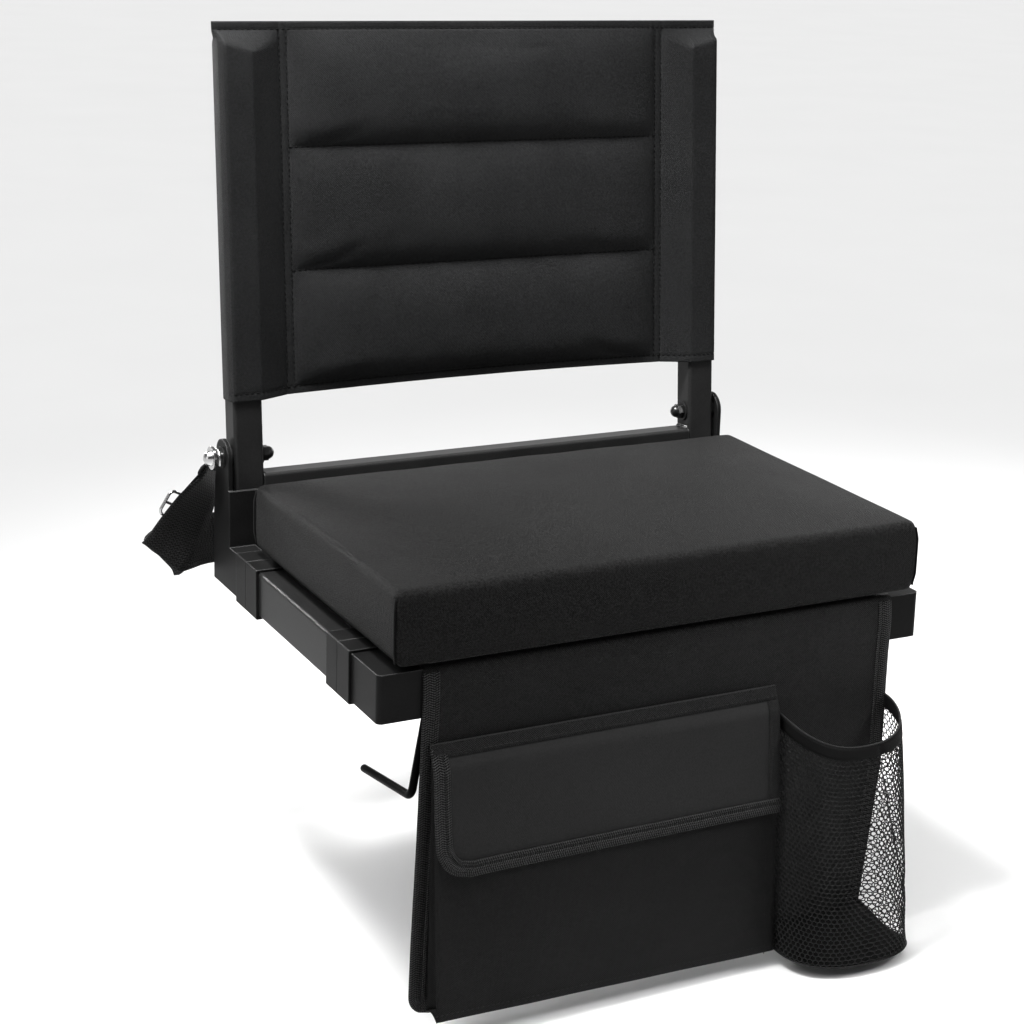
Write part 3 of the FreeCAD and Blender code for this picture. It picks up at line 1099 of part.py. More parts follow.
# Snap hook: wire round the spool, a neck past the bracket and a loop as wide as the strap.
snap_sag = size("snap_radius") - size("snap_wire") / 2 - size("spool_diameter") / 2 - 0.05
spool_middle = -bracket_x - size("face_washer") - size("spool_length") / 2
pivot = vec(spool_middle, value(PIVOT_Y), value(PIVOT_Z) - snap_sag)
heading = (fold_mid - start_mid).normalize()
across = (start_across - heading * start_across.dot(heading)).normalize()
far_side = start_mid - heading * (half_wire + half_thick + 1.0)
near_side = far_side - heading * 9
wide = across * (half_strap + half_wire + 1.5)
loop_form = loop([far_side - wide, far_side + wide, near_side + wide, near_side - wide], 3.2, half_wire)
ring_points = []
for degrees in (200, 160, 120, 80, 40, 0, -40):
    angle = math.radians(degrees)
    turn = size("snap_radius")
    ring_points.append(pivot + vec(0, turn * math.cos(angle), turn * math.sin(angle)))
curl = [Part.Arc(ring_points[k], ring_points[k + 1], ring_points[k + 2]).toShape() for k in (0, 2, 4)]
curl_ring = Part.Wire([Part.makeCircle(size("snap_wire") / 2, ring_points[0], vec(0, 0.34, -0.94))])
curl_form = Part.Wire(curl).makePipeShell([curl_ring], True, True)
neck_top = ring_points[-1]
neck_end = near_side - across * (half_strap - 4)
neck_way = neck_end - neck_top
neck_form = Part.makeCylinder(size("snap_wire") / 2, neck_way.Length, neck_top, neck_way)
swivel = Part.makeSphere(size("snap_wire") * 0.85, neck_end)
knuckle = Part.makeSphere(size("snap_wire") * 0.6, neck_top)
node(solid("snap_form", curl_form.fuse([neck_form, knuckle, swivel, loop_form])), "strap_snap")

# Wire slider behind the upper layer of the strap.
slide_mid = start_mid * 0.58 + fold_mid * 0.42
slide_across = (start_across * 0.45 + fold_across * 0.55).normalize()
slide_across = (slide_across - heading * slide_across.dot(heading)).normalize()
slide_normal = heading.cross(slide_across).normalize()
if slide_normal.y < 0:
    slide_normal = slide_normal * -1
slide_mid = slide_mid + slide_normal * (half_thick + half_wire + 3.4)
reach = slide_across * (half_strap + size("slider_over") / 2)
tall = heading * (size("slider_height") / 2)
slider_frame = loop([slide_mid - reach - tall, slide_mid + reach - tall, slide_mid + reach + tall,
                     slide_mid - reach + tall], 5, half_wire)
slider_bar = Part.makeCylinder(half_wire, 2 * reach.Length, slide_mid - reach, reach)
node(solid("slider_form", slider_frame.fuse(slider_bar)), "strap_slider")

# Anchor plate that clamps the strap's other end to the rear face of the right bracket, with two screws.
plate_y = f"({REAR} + Sizes.strap_thickness + 0.2)"
plate_x = f"({HALF} - 3 - Sizes.anchor_width)"
anchor = box("anchor_plate", plate_x, plate_y, f"{BASE} + 4",
             "Sizes.anchor_width", "Sizes.anchor_thickness", "Sizes.rail_height - 8")
anchor_heads = []
for number, sign in enumerate((-1, 1)):
    head_z = f"{BASE} + Sizes.rail_height / 2 + {sign} * Sizes.rail_height / 4"
    anchor_heads.append(cylinder(f"anchor_head_{number}", "Y", f"{plate_x} + Sizes.anchor_width / 2",
                                 f"{plate_y} + Sizes.anchor_thickness", head_z,
                                 "Sizes.screw_head / 2", "Sizes.screw_head_height"))
node(fuse("anchor", [anchor] + anchor_heads), "strap_anchor_right")

# Check every object and write one file for each piece.
doc.recompute()
troubled = [item.Name for item in doc.Objects if "Invalid" in item.State or "Error" in item.State]
if troubled:
    raise RuntimeError(f"not computed: {troubled}")
for piece in nodes:
    shape = piece.Shape
    if shape.isNull() or not shape.isValid() or not shape.Solids:
        raise RuntimeError(f"{piece.Label} has no valid solid")
    shape.exportStep(f"parts/{piece.Label}.step")
print(len(nodes), "pieces written")
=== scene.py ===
"""Looks of the folding stadium seat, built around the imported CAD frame.

Metres, X right, Y back, Z up, as in the frame. Cloth meshes carry a UV map in metres, so that every
weave keeps its real scale. Lengths are in metres, or in millimetres until MM turns them to metres.
"""
import json
import math

import bmesh
import bpy
import numpy as np
from mathutils import Matrix, Vector


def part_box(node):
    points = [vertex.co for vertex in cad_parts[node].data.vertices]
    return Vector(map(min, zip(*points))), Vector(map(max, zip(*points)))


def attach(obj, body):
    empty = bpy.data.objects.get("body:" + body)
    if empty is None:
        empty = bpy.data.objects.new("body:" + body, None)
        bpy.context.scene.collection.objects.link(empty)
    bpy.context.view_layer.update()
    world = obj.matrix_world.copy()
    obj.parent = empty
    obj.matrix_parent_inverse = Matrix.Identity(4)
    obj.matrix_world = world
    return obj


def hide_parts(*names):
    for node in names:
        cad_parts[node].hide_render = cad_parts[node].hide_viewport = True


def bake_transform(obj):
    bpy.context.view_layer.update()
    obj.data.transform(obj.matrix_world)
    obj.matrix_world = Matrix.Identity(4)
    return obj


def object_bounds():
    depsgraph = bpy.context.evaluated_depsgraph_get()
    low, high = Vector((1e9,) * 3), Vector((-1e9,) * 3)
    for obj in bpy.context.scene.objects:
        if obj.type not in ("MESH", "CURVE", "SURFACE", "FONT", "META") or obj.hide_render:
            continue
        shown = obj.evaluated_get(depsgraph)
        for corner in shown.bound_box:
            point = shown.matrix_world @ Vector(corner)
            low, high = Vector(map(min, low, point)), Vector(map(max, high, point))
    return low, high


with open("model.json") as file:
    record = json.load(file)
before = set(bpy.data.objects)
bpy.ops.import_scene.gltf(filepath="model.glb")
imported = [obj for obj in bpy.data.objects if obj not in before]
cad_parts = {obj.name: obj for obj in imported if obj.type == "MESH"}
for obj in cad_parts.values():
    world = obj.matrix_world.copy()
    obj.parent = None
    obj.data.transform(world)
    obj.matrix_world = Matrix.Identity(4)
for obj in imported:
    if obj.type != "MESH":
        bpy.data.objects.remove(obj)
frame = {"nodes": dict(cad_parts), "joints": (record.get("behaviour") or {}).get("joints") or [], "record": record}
cad_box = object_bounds()
nodes = frame["nodes"]
joints = {joint["name"]: joint for joint in frame["joints"]}
scene = bpy.context.scene

MM = 0.001
TINY = 1e-12
UV = "cloth"
ACROSS = np.array([1.0, 0.0, 0.0])
BACK = np.array([0.0, 1.0, 0.0])
UP = np.array([0.0, 0.0, 1.0])


# Meshes.
def smoothstep(value, low, high):
    share = np.clip((value - low) / (high - low), 0.0, 1.0)
    return share * share * (3 - 2 * share)


def ripple(a, b, seed):
    """Soft repeatable waves over two coordinates, between about -1 and 1."""
    total = 0.0
    for number in range(4):
        turn = 1.7 * number + seed
        total = total + np.sin(a * (1.0 + 0.63 * number) + turn + 1.3 * np.sin(b * 0.8 + turn)
                               + b * (0.5 - 0.37 * number))
    return total / 4


def unit(vectors):
    """The same directions with length one; a zero vector stays zero."""
    return vectors / np.maximum(np.linalg.norm(vectors, axis=-1, keepdims=True), TINY)


def oval(wide, tall):
    """Section of a small oval roll, as (inward, normal) pairs."""
    return [(wide * math.cos(turn), tall * math.sin(turn)) for turn in np.linspace(0, 2 * math.pi, 9)[:-1]]


def towards(path, centre):
    """Unit directions across an upright path that point to a centre."""
    across = unit(np.cross(np.gradient(path, axis=0), BACK))
    inside = np.sum(across * (centre - path), axis=1, keepdims=True) > 0
    return np.where(inside, across, -across)


def run_of(path):
    """Distance along a path at each of its points."""
    return np.concatenate([[0.0], np.cumsum(np.linalg.norm(np.diff(path, axis=0), axis=1))])


def shade_smooth(mesh):
    mesh.polygons.foreach_set("use_smooth", [True] * len(mesh.polygons))


def build(name, parts):
    """Smooth mesh object from parts of (points, faces, uvs); points in metres, one uv for each point."""
    points, faces, uvs = [], [], []
    for part_points, part_faces, part_uvs in parts:
        start = len(points)
        points += [tuple(point) for point in part_points]
        uvs += [tuple(uv) for uv in part_uvs]
        faces += [tuple(start + index for index in face) for face in part_faces]
    mesh = bpy.data.meshes.new(name)
    mesh.from_pydata(points, [], faces)
    corners = np.zeros(len(mesh.loops), np.int32)
    mesh.loops.foreach_get("vertex_index", corners)
    layer = mesh.uv_layers.new(name=UV)
    layer.data.foreach_set("uv", np.array(uvs, np.float32)[corners].ravel())
    form = bmesh.new()
    form.from_mesh(mesh)
    bmesh.ops.recalc_face_normals(form, faces=form.faces)
    form.to_mesh(mesh)
    form.free()
    shade_smooth(mesh)
    mesh.update()
    obj = bpy.data.objects.new(name, mesh)
    scene.collection.objects.link(obj)
    return obj


def lengths_along(grid, axis):
    """Distances along one direction of a grid of points, from its first row or column."""
    steps = np.linalg.norm(np.diff(grid, axis=axis), axis=2)
    first = np.zeros_like(np.take(steps, [0], axis=axis))
    return np.concatenate([first, np.cumsum(steps, axis=axis)], axis=axis)


def cloth_sheet(grid, thick):
    """Thin closed cloth about a grid of middle points (rows, columns, 3)."""
    rows, columns = grid.shape[:2]
    normal = unit(np.cross(np.gradient(grid, axis=1), np.gradient(grid, axis=0)))
    front = (grid + normal * thick / 2).reshape(-1, 3)
    back = (grid - normal * thick / 2).reshape(-1, 3)
    uv = np.stack([lengths_along(grid, 1), lengths_along(grid, 0)], axis=2).reshape(-1, 2)
    count = rows * columns
    faces = []
    for row in range(rows - 1):
        for column in range(columns - 1):
            one = row * columns + column
            quad = (one, one + 1, one + columns + 1, one + columns)
            faces.append(quad)
            faces.append(tuple(count + index for index in reversed(quad)))
    border = ([(0, column) for column in range(columns)]
              + [(row, columns - 1) for row in range(1, rows)]
              + [(rows - 1, column) for column in range(columns - 2, -1, -1)]
              + [(row, 0) for row in range(rows - 2, 0, -1)])
    ring = [row * columns + column for row, column in border]
    for here, there in zip(ring, ring[1:] + ring[:1]):
        faces.append((here, count + here, count + there, there))
    return np.concatenate([front, back]), faces, np.concatenate([uv, uv])


def swept(path, inward, normal, section):
    """Closed bar along a path; the section is in (inward, normal) pairs, in metres."""
    path, inward, normal = (np.asarray(item, float) for item in (path, inward, normal))
    count = len(section)
    points, uvs, faces = [], [], []
    for place, into, out, length in zip(path, inward, normal, run_of(path)):
        for a, b in section:
            points.append(place + into * a + out * b)
            uvs.append((length, a if b >= 0 else -a))
    for step in range(len(path) - 1):
        for index in range(count):
            following = (index + 1) % count
            low, high = step * count, (step + 1) * count
            faces.append((low + index, low + following, high + following, high + index))
    faces.append(tuple(range(count)))
    faces.append(tuple(len(points) - 1 - index for index in range(count)))
    return points, faces, uvs


def tape(path, inward, wide, thick, sewn):
    """Binding folded over a cloth edge and drawn in along its sewn line; the path runs along the edge."""
    normal = unit(np.cross(np.gradient(path, axis=0), inward))
    half = thick / 2
    over, bend, groove, edge = 0.9 * MM, 1.2 * MM, 0.8 * MM, 0.5 * MM
    face = [(-0.3 * over, 0.75 * half), (bend, half), (sewn - groove, half), (sewn, 0.4 * half),
            (sewn + groove, half), (wide - edge, half), (wide, 0.6 * half)]
    section = [(-over, 0.0)] + face + [(across, -deep) for across, deep in reversed(face)]
    return swept(path, inward, normal, section)


def box_uv(obj):
    """UVs in metres by the main direction of each face, for forms with no natural unrolling."""
    mesh = obj.data
    layer = mesh.uv_layers.get(UV) or mesh.uv_layers.new(name=UV)
    for face in mesh.polygons:
        normal = [abs(part) for part in face.normal]
        first, second = {0: (1, 2), 1: (0, 2), 2: (0, 1)}[normal.index(max(normal))]
        for loop in face.loop_indices:
            place = mesh.vertices[mesh.loops[loop].vertex_index].co
            layer.data[loop].uv = (place[first], place[second])


def coordinates(mesh):
    flat = np.zeros(len(mesh.vertices) * 3)
    mesh.vertices.foreach_get("co", flat)
    return flat.reshape(-1, 3)


def inflate(obj, pinned, pressure, cap, frames=20):
    """Cloth under inner pressure: pinned points stay and no point moves further than the cap."""
    start = coordinates(obj.data)
    seam = obj.vertex_groups.new(name="seam")
    seam.add([int(index) for index in np.flatnonzero(pinned)], 1.0, "REPLACE")
    cloth = obj.modifiers.new("swell", "CLOTH")
    settings = cloth.settings
    settings.quality = 6
    settings.mass = 0.3
    settings.tension_stiffness = 12
    settings.compression_stiffness = 12
    settings.bending_stiffness = 0.3
    settings.use_pressure = True
    settings.uniform_pressure_force = pressure
    settings.effector_weights.gravity = 0
    settings.vertex_group_mass = "seam"
    cloth.collision_settings.use_collision = False
    for number in range(1, frames + 1):
        scene.frame_set(number)
    swollen = obj.evaluated_get(bpy.context.evaluated_depsgraph_get())
    step = coordinates(swollen.data) - start
    reach = np.linalg.norm(step, axis=1, keepdims=True)
    step *= np.minimum(1.0, cap / np.maximum(reach, TINY))
    obj.modifiers.remove(cloth)
    obj.vertex_groups.remove(seam)
    scene.frame_set(1)
    obj.data.vertices.foreach_set("co", (start + step).ravel())
    obj.data.update()


def evaluated_mesh(obj):
    """Plain mesh of an object with its modifiers applied."""
    shown = obj.evaluated_get(bpy.context.evaluated_depsgraph_get())
    return bpy.data.meshes.new_from_object(shown)


def subdivide(obj, levels):
    modifier = obj.modifiers.new("smooth", "SUBSURF")
    modifier.levels = levels
    modifier.render_levels = levels
    coarse = obj.data
    fine = evaluated_mesh(obj)
    obj.modifiers.clear()
    obj.data = fine
    bpy.data.meshes.remove(coarse)


# Geometry Nodes for what repeats: stitches along rows and strands of a net.
def geometry_tree(name, sizes):
    """Empty node tree with one named input for each size."""
    tree = bpy.data.node_groups.new(name, "GeometryNodeTree")
    tree.interface.new_socket("Geometry", in_out="INPUT", socket_type="NodeSocketGeometry")
    for label in sizes:
        tree.interface.new_socket(label, in_out="INPUT", socket_type="NodeSocketFloat")
    tree.interface.new_socket("Geometry", in_out="OUTPUT", socket_type="NodeSocketGeometry")
    return tree, tree.nodes.new("NodeGroupInput"), tree.nodes.new("NodeGroupOutput")


def end_tree(tree, shape, finish, end):
    """Make a tree's shape real geometry in one finish and send it to the tree's output."""
    real = tree.nodes.new("GeometryNodeRealizeInstances")
    painted = tree.nodes.new("GeometryNodeSetMaterial")
    painted.inputs["Material"].default_value = finish
    tree.links.new(shape, real.inputs[0])
    tree.links.new(real.outputs[0], painted.inputs["Geometry"])
    tree.links.new(painted.outputs[0], end.inputs[0])


def as_mesh(name, source, tree, sizes):
    """Plain mesh object from a source object, its node tree and the tree's sizes."""
    modifier = source.modifiers.new("nodes", "NODES")
    modifier.node_group = tree
    for socket in tree.interface.items_tree:
        if socket.name in sizes:
            modifier[socket.identifier] = sizes[socket.name]
    mesh = evaluated_mesh(source)
    bpy.data.objects.remove(source)
    mesh.name = name
    obj = bpy.data.objects.new(name, mesh)
    scene.collection.objects.link(obj)
    return obj


def stitches(name, rows, finish, spacing=4.6 * MM, length=3.2 * MM, radius=0.42 * MM):
    """Rows of thread stitches, one small capsule at each step along each row."""
    curve = bpy.data.curves.new(name, "CURVE")
    curve.dimensions = "3D"
    for row in rows:
        spline = curve.splines.new("POLY")
        spline.points.add(len(row) - 1)
        for point, place in zip(spline.points, row):
            point.co = (*place, 1.0)
    source = bpy.data.objects.new(name + "_rows", curve)
    scene.collection.objects.link(source)
    sizes = {"Spacing": spacing, "Thread Radius": radius, "Half Length": length / 2}
    tree, start, end = geometry_tree(name, sizes)
    spots = tree.nodes.new("GeometryNodeCurveToPoints")
    spots.mode = "LENGTH"
    tree.links.new(start.outputs["Spacing"], spots.inputs["Length"])
    thread = tree.nodes.new("GeometryNodeMeshUVSphere")
    thread.inputs["Segments"].default_value = 6
    thread.inputs["Rings"].default_value = 5
    thread.inputs["Radius"].default_value = 1.0
    placed = tree.nodes.new("GeometryNodeInstanceOnPoints")
    shape = tree.nodes.new("ShaderNodeCombineXYZ")
    for axis, label in (("X", "Thread Radius"), ("Y", "Thread Radius"), ("Z", "Half Length")):
        tree.links.new(start.outputs[label], shape.inputs[axis])
    tree.links.new(shape.outputs["Vector"], placed.inputs["Scale"])
    tree.links.new(start.outputs[0], spots.inputs["Curve"])
    tree.links.new(spots.outputs["Points"], placed.inputs["Points"])
    tree.links.new(spots.outputs["Rotation"], placed.inputs["Rotation"])
    tree.links.new(thread.outputs["Mesh"], placed.inputs["Instance"])
    end_tree(tree, placed.outputs[0], finish, end)
    obj = as_mesh(name, source, tree, sizes)
    shade_smooth(obj.data)
    return obj


def net(name, points, edges, finish, radius):
    """Strands along the edges of a wire mesh."""
    mesh = bpy.data.meshes.new(name)
    mesh.from_pydata([tuple(point) for point in points], edges, [])
    source = bpy.data.objects.new(name + "_wires", mesh)
    scene.collection.objects.link(source)
    sizes = {"Strand Radius": radius}
    tree, start, end = geometry_tree(name, sizes)
    curves = tree.nodes.new("GeometryNodeMeshToCurve")
    profile = tree.nodes.new("GeometryNodeCurvePrimitiveCircle")
    profile.inputs["Resolution"].default_value = 4
    tree.links.new(start.outputs["Strand Radius"], profile.inputs["Radius"])
    strands = tree.nodes.new("GeometryNodeCurveToMesh")
    tree.links.new(start.outputs[0], curves.inputs["Mesh"])
    tree.links.new(curves.outputs[0], strands.inputs["Curve"])
    tree.links.new(profile.outputs[0], strands.inputs["Profile Curve"])
    end_tree(tree, strands.outputs[0], finish, end)
    return as_mesh(name, source, tree, sizes)


# Materials, all from nodes.
def feed(tree, socket, value):
    if isinstance(value, bpy.types.NodeSocket):
        tree.links.new(value, socket)
    else:
        socket.default_value = value


def add(tree, kind, settings=None, **inputs):
    """New node with its settings and inputs; input names use _ for a space."""
    made = tree.nodes.new(kind)
    for name, value in (settings or {}).items():
        setattr(made, name, value)
    for name, value in inputs.items():
        feed(tree, made.inputs[name.replace("_", " ")], value)
    return made


def calc(tree, operation, first, second=0.0):
    made = tree.nodes.new("ShaderNodeMath")
    made.operation = operation
    feed(tree, made.inputs[0], first)
    feed(tree, made.inputs[1], second)
    return made.outputs[0]


def noise(tree, space, scale, detail, **inputs):
    return add(tree, "ShaderNodeTexNoise", Vector=space, Scale=scale, Detail=detail, **inputs).outputs["Fac"]


def blank(name):
    material = bpy.data.materials.new(name)
    material.use_nodes = True
    tree = material.node_tree
    return material, tree, tree.nodes["Principled BSDF"]


def two_tone(tree, share, dark, light, painted_highlight=None):
    """Colour from dark to light; with a painted highlight colour, light comes half way and the painted highlight
    at the end.
    """
    ramp = add(tree, "ShaderNodeValToRGB", Fac=share)
    ramp.color_ramp.elements[0].color = (*dark, 1)
    ramp.color_ramp.elements[1].color = (*(painted_highlight or light), 1)
    if painted_highlight:
        ramp.color_ramp.elements.new(0.5).color = (*light, 1)
    return ramp.outputs["Color"]


def wave(tree, along, pitch):
    return calc(tree, "SINE", calc(tree, "MULTIPLY", along, 2 * math.pi / pitch))


def scaled(tree, value, factor):
    return calc(tree, "MULTIPLY", value, factor)


def about_half(tree, value, factor):
    """Noise between 0 and 1 as a change of both signs."""
    return scaled(tree, calc(tree, "SUBTRACT", value, 0.5), factor)


def plain_weave(tree, u, v, pitch):
    return calc(tree, "MULTIPLY", wave(tree, u, pitch), wave(tree, v, pitch))


# Widths of the woven rows, and noise in waves per metre.
TAPE_RIB, STRAP_RIB = 4.4 * MM, 2.1 * MM
FIBRE_GRAIN, CLOTH_CLOUD, COAT_CLOUD = 560.0, 16.0, 22.0


def herringbone(tree, u, v, pitch):
    """Binding: ribs with a slight zigzag across the tape."""
    zigzag = scaled(tree, calc(tree, "PINGPONG", v, TAPE_RIB), 0.45)
    slant = wave(tree, calc(tree, "ADD", u, zigzag), pitch)
    ribs = calc(tree, "ADD", scaled(tree, slant, 0.75), scaled(tree, wave(tree, v, pitch), 0.35))
    return calc(tree, "SUBTRACT", ribs, 0.2)


def ribbed(tree, u, v, pitch):
    """Webbing: slanted ribs in rows that run along the strap."""
    zigzag = calc(tree, "PINGPONG", v, STRAP_RIB)
    slant = wave(tree, calc(tree, "ADD", u, zigzag), pitch)
    rows = calc(tree, "ABSOLUTE", wave(tree, v, 2 * STRAP_RIB))
    return calc(tree, "ADD", scaled(tree, slant, 0.7), calc(tree, "SUBTRACT", rows, 0.64))


def fabric(name, dark, light, pattern, pitch, depth, rough, sheen, speckle, weave=0.28):
    """Woven cloth: thread pattern in the UVs, fibre speckle and soft clouding."""
    material, tree, shader = blank(name)
    uv = add(tree, "ShaderNodeUVMap", {"uv_map": UV})
    split = add(tree, "ShaderNodeSeparateXYZ", Vector=uv.outputs["UV"])
    threads = pattern(tree, split.outputs["X"], split.outputs["Y"], pitch)
    space = add(tree, "ShaderNodeTexCoord").outputs["Object"]
    fibre = noise(tree, space, FIBRE_GRAIN, 3.0, Roughness=0.7)
    cloud = noise(tree, space, CLOTH_CLOUD, 4.0)
    tone = calc(tree, "ADD", 0.5, scaled(tree, threads, weave))
    tone = calc(tree, "ADD", tone, about_half(tree, fibre, 2.2 * speckle))
    tone = calc(tree, "ADD", tone, about_half(tree, cloud, 0.5))
    feed(tree, shader.inputs["Base Color"], two_tone(tree, tone, dark, light))
    feed(tree, shader.inputs["Roughness"], calc(tree, "ADD", rough, about_half(tree, cloud, 0.16)))
    relief = calc(tree, "ADD", threads, scaled(tree, fibre, 2.0 * speckle))
    bump = add(tree, "ShaderNodeBump", Strength=0.8, Distance=depth, Height=relief)
    feed(tree, shader.inputs["Normal"], bump.outputs["Normal"])
    shader.inputs["Sheen Weight"].default_value = sheen
    shader.inputs["Sheen Roughness"].default_value = 0.45
    shader.inputs["Specular IOR Level"].default_value = 0.08
    return material


def coated(name, dark, light, rough, grain, depth, edge=0.9 * MM, metallic=0.0, bright_from=None, shine=0.15,
           painted_highlight=None):
    """Powder coat, moulded plastic or metal: fine grain, clouded gloss and paler edges, partly rubbed wear and
    partly painted highlight.

    With a pair of heights, the piece is dark below the first and bright above the second.
    """
    material, tree, shader = blank(name)
    space = add(tree, "ShaderNodeTexCoord").outputs["Object"]
    fine = noise(tree, space, grain, 3.0)
    cloud = noise(tree, space, COAT_CLOUD, 4.0)
    soft = add(tree, "ShaderNodeBevel", {"samples": 4}, Radius=edge)
    surface = add(tree, "ShaderNodeNewGeometry")
    bend = add(tree, "ShaderNodeVectorMath", {"operation": "DOT_PRODUCT"})
    feed(tree, bend.inputs[0], soft.outputs["Normal"])
    feed(tree, bend.inputs[1], surface.outputs["Normal"])
    # Paler where the rounded normal turns away from the face: partly rubbed wear, partly painted highlight.
    rubbed_and_lit_edges = scaled(tree, calc(tree, "SUBTRACT", 1.0, bend.outputs["Value"]), 5.0)
    tone = calc(tree, "ADD", scaled(tree, cloud, 0.22), scaled(tree, fine, 0.16))
    # With a highlight colour, only edges that face up turn pale: a painted highlight of the light they catch from
    # above.
    if painted_highlight:
        upward_highlight_mask = add(tree, "ShaderNodeSeparateXYZ", Vector=soft.outputs["Normal"]).outputs["Z"]
        upward_highlight_mask = calc(tree, "MAXIMUM", calc(tree, "ADD", scaled(tree, upward_highlight_mask, 1.1), 0.25), 0.0)
        rubbed_and_lit_edges = calc(tree, "MINIMUM", scaled(tree, rubbed_and_lit_edges, 2.0), 1.0)
        rubbed_and_lit_edges = calc(tree, "MULTIPLY", rubbed_and_lit_edges, upward_highlight_mask)
        tone = calc(tree, "ADD", scaled(tree, tone, 0.5), scaled(tree, rubbed_and_lit_edges, 0.8))
    else:
        tone = calc(tree, "ADD", tone, scaled(tree, rubbed_and_lit_edges, 0.6))
    if bright_from:
        height = add(tree, "ShaderNodeSeparateXYZ", Vector=space).outputs["Z"]
        low, high = bright_from
        level = add(tree, "ShaderNodeMapRange", Value=height, From_Min=low, From_Max=high)
        bright = level.outputs["Result"]
        tone = calc(tree, "MULTIPLY", calc(tree, "ADD", tone, 0.5), bright)
        feed(tree, shader.inputs["Metallic"], bright)
        dull = 0.6
        rough = calc(tree, "SUBTRACT", dull, scaled(tree, bright, dull - rough))
    else:
        shader.inputs["Metallic"].default_value = metallic
    feed(tree, shader.inputs["Base Color"], two_tone(tree, tone, dark, light, painted_highlight))
    feed(tree, shader.inputs["Roughness"], calc(tree, "ADD", rough, about_half(tree, cloud, 0.12)))
    bump = add(tree, "ShaderNodeBump", Strength=0.35, Distance=depth, Height=fine,
               Normal=soft.outputs["Normal"])
    feed(tree, shader.inputs["Normal"], bump.outputs["Normal"])
    shader.inputs["Specular IOR Level"].default_value = shine
    return material


def grey(value, warm=0.0):
    return (value * (1 + warm), value, value * (1 - warm))


# Coats: dark, light, roughness, grain in waves per metre, relief, width of the paler edge (rubbed wear and painted
# highlight), share of metal.
# Cloths: dark, light, pattern, pitch, relief, roughness, sheen, speckle of the fibre, contrast of the weave.
FINISH = {
    # The frame and the moulding carry a painted highlight colour on their upward-facing edges.
    "frame_steel": coated("powder coat", grey(0.004), grey(0.052), 0.32, 480.0, 0.12 * MM, 1.8 * MM,
                          shine=0.07, painted_highlight=grey(0.34)),
    "hook_steel": coated("hook coat", grey(0.0005), grey(0.004), 0.40, 700.0, 0.04 * MM, shine=0.025),
    "moulding": coated("moulded plastic", grey(0.002), grey(0.034), 0.44, 620.0, 0.09 * MM, 1.6 * MM,
                       shine=0.05, painted_highlight=grey(0.12)),
    "nylon": coated("nylon plug", grey(0.006), grey(0.014), 0.5, 1200.0, 0.05 * MM),
    "dark_hardware": coated("black zinc", grey(0.02), grey(0.12), 0.28, 800.0, 0.03 * MM, 0.5 * MM, 0.9),
    "bright_hardware": coated("bright steel", grey(0.5), grey(0.85), 0.16, 500.0, 0.02 * MM, 0.4 * MM, 1.0),
    # Black board, whose colour also stands in as painted shade of the gap under the cushion.
    "board": coated("black board and painted gap shade", grey(0.003), grey(0.009), 0.7, 160.0, 0.12 * MM),
    "cushion_fabric": fabric("cushion oxford", grey(0.001, 0.01), grey(0.0112, 0.01), plain_weave, 1.9 * MM,
                             0.26 * MM, 0.62, 0.02, 2.4, 0.16),
    "back_fabric": fabric("back oxford", grey(0.003, -0.02), grey(0.0195, -0.02), plain_weave, 1.7 * MM,
                          0.18 * MM, 0.55, 0.02, 0.85),
    "apron_fabric": fabric("apron oxford", grey(0.001), grey(0.0180), plain_weave, 1.9 * MM, 0.55 * MM,
                           0.46, 0.015, 1.0, 0.35),
    # The pocket's copy of the apron cloth is darker: painted shade of the lower apron.
    "pocket": fabric("shaded apron oxford for the pocket", grey(0.001), grey(0.0115), plain_weave, 1.7 * MM, 0.40 * MM,
                     0.5, 0.012, 0.8, 0.3),
    "flap_fabric": fabric("flap cloth", grey(0.009), grey(0.021), plain_weave, 1.3 * MM, 0.14 * MM,
                          0.52, 0.02, 0.6),
    "binding": fabric("herringbone tape", grey(0.0004), grey(0.044), herringbone, 2.1 * MM, 0.5 * MM,
                      0.5, 0.01, 0.8, 1.1),
    "mesh": fabric("net yarn", grey(0.004), grey(0.016), plain_weave, 0.8 * MM, 0.06 * MM, 0.45, 0.02, 0.6),
    "patch": fabric("hook and loop", grey(0.003), grey(0.01), plain_weave, 1.6 * MM, 0.6 * MM, 0.8, 0.1, 1.2),
    "webbing": fabric("ribbed webbing", grey(0.0002), grey(0.0165), ribbed, 3.0 * MM, 0.4 * MM,
                      0.5, 0.01, 0.6, 0.85),
    "foam": fabric("foam", grey(0.03), grey(0.06), plain_weave, 2.0 * MM, 0.3 * MM, 0.9, 0.0, 1.0),
    "thread": fabric("sewing thread", grey(0.005), grey(0.022), plain_weave, 0.6 * MM, 0.05 * MM,
                     0.5, 0.02, 0.5),
    # Darkest cloth: dark seams, stitches and elastic, and also painted shade in the cushion's corner grooves, the
    # stitch holes and the pouch floor.
    "seam": fabric("dark seam and painted shade", grey(0.001), grey(0.005), plain_weave, 1.2 * MM, 0.1 * MM, 0.7, 0.01, 0.5),
}
SNAP_BRIGHT_FROM = (116 * MM, 122 * MM)
SNAP = coated("snap steel", grey(0.006), grey(0.85), 0.16, 500.0, 0.02 * MM, 0.4 * MM, 1.0, SNAP_BRIGHT_FROM)


def dress(obj, slot, finish=None):
    """Give a piece the finish of one of the record's material slots, or another finish."""
    obj.data.materials.clear()
    obj.data.materials.append(FINISH[finish or slot])
    return obj


for entry in frame["record"]["subparts"]:
    piece = nodes[entry["node"]]
    piece.data.materials.clear()
    piece.data.materials.append(FINISH[entry["material_slot"]])
nodes["strap_snap"].data.materials[0] = SNAP


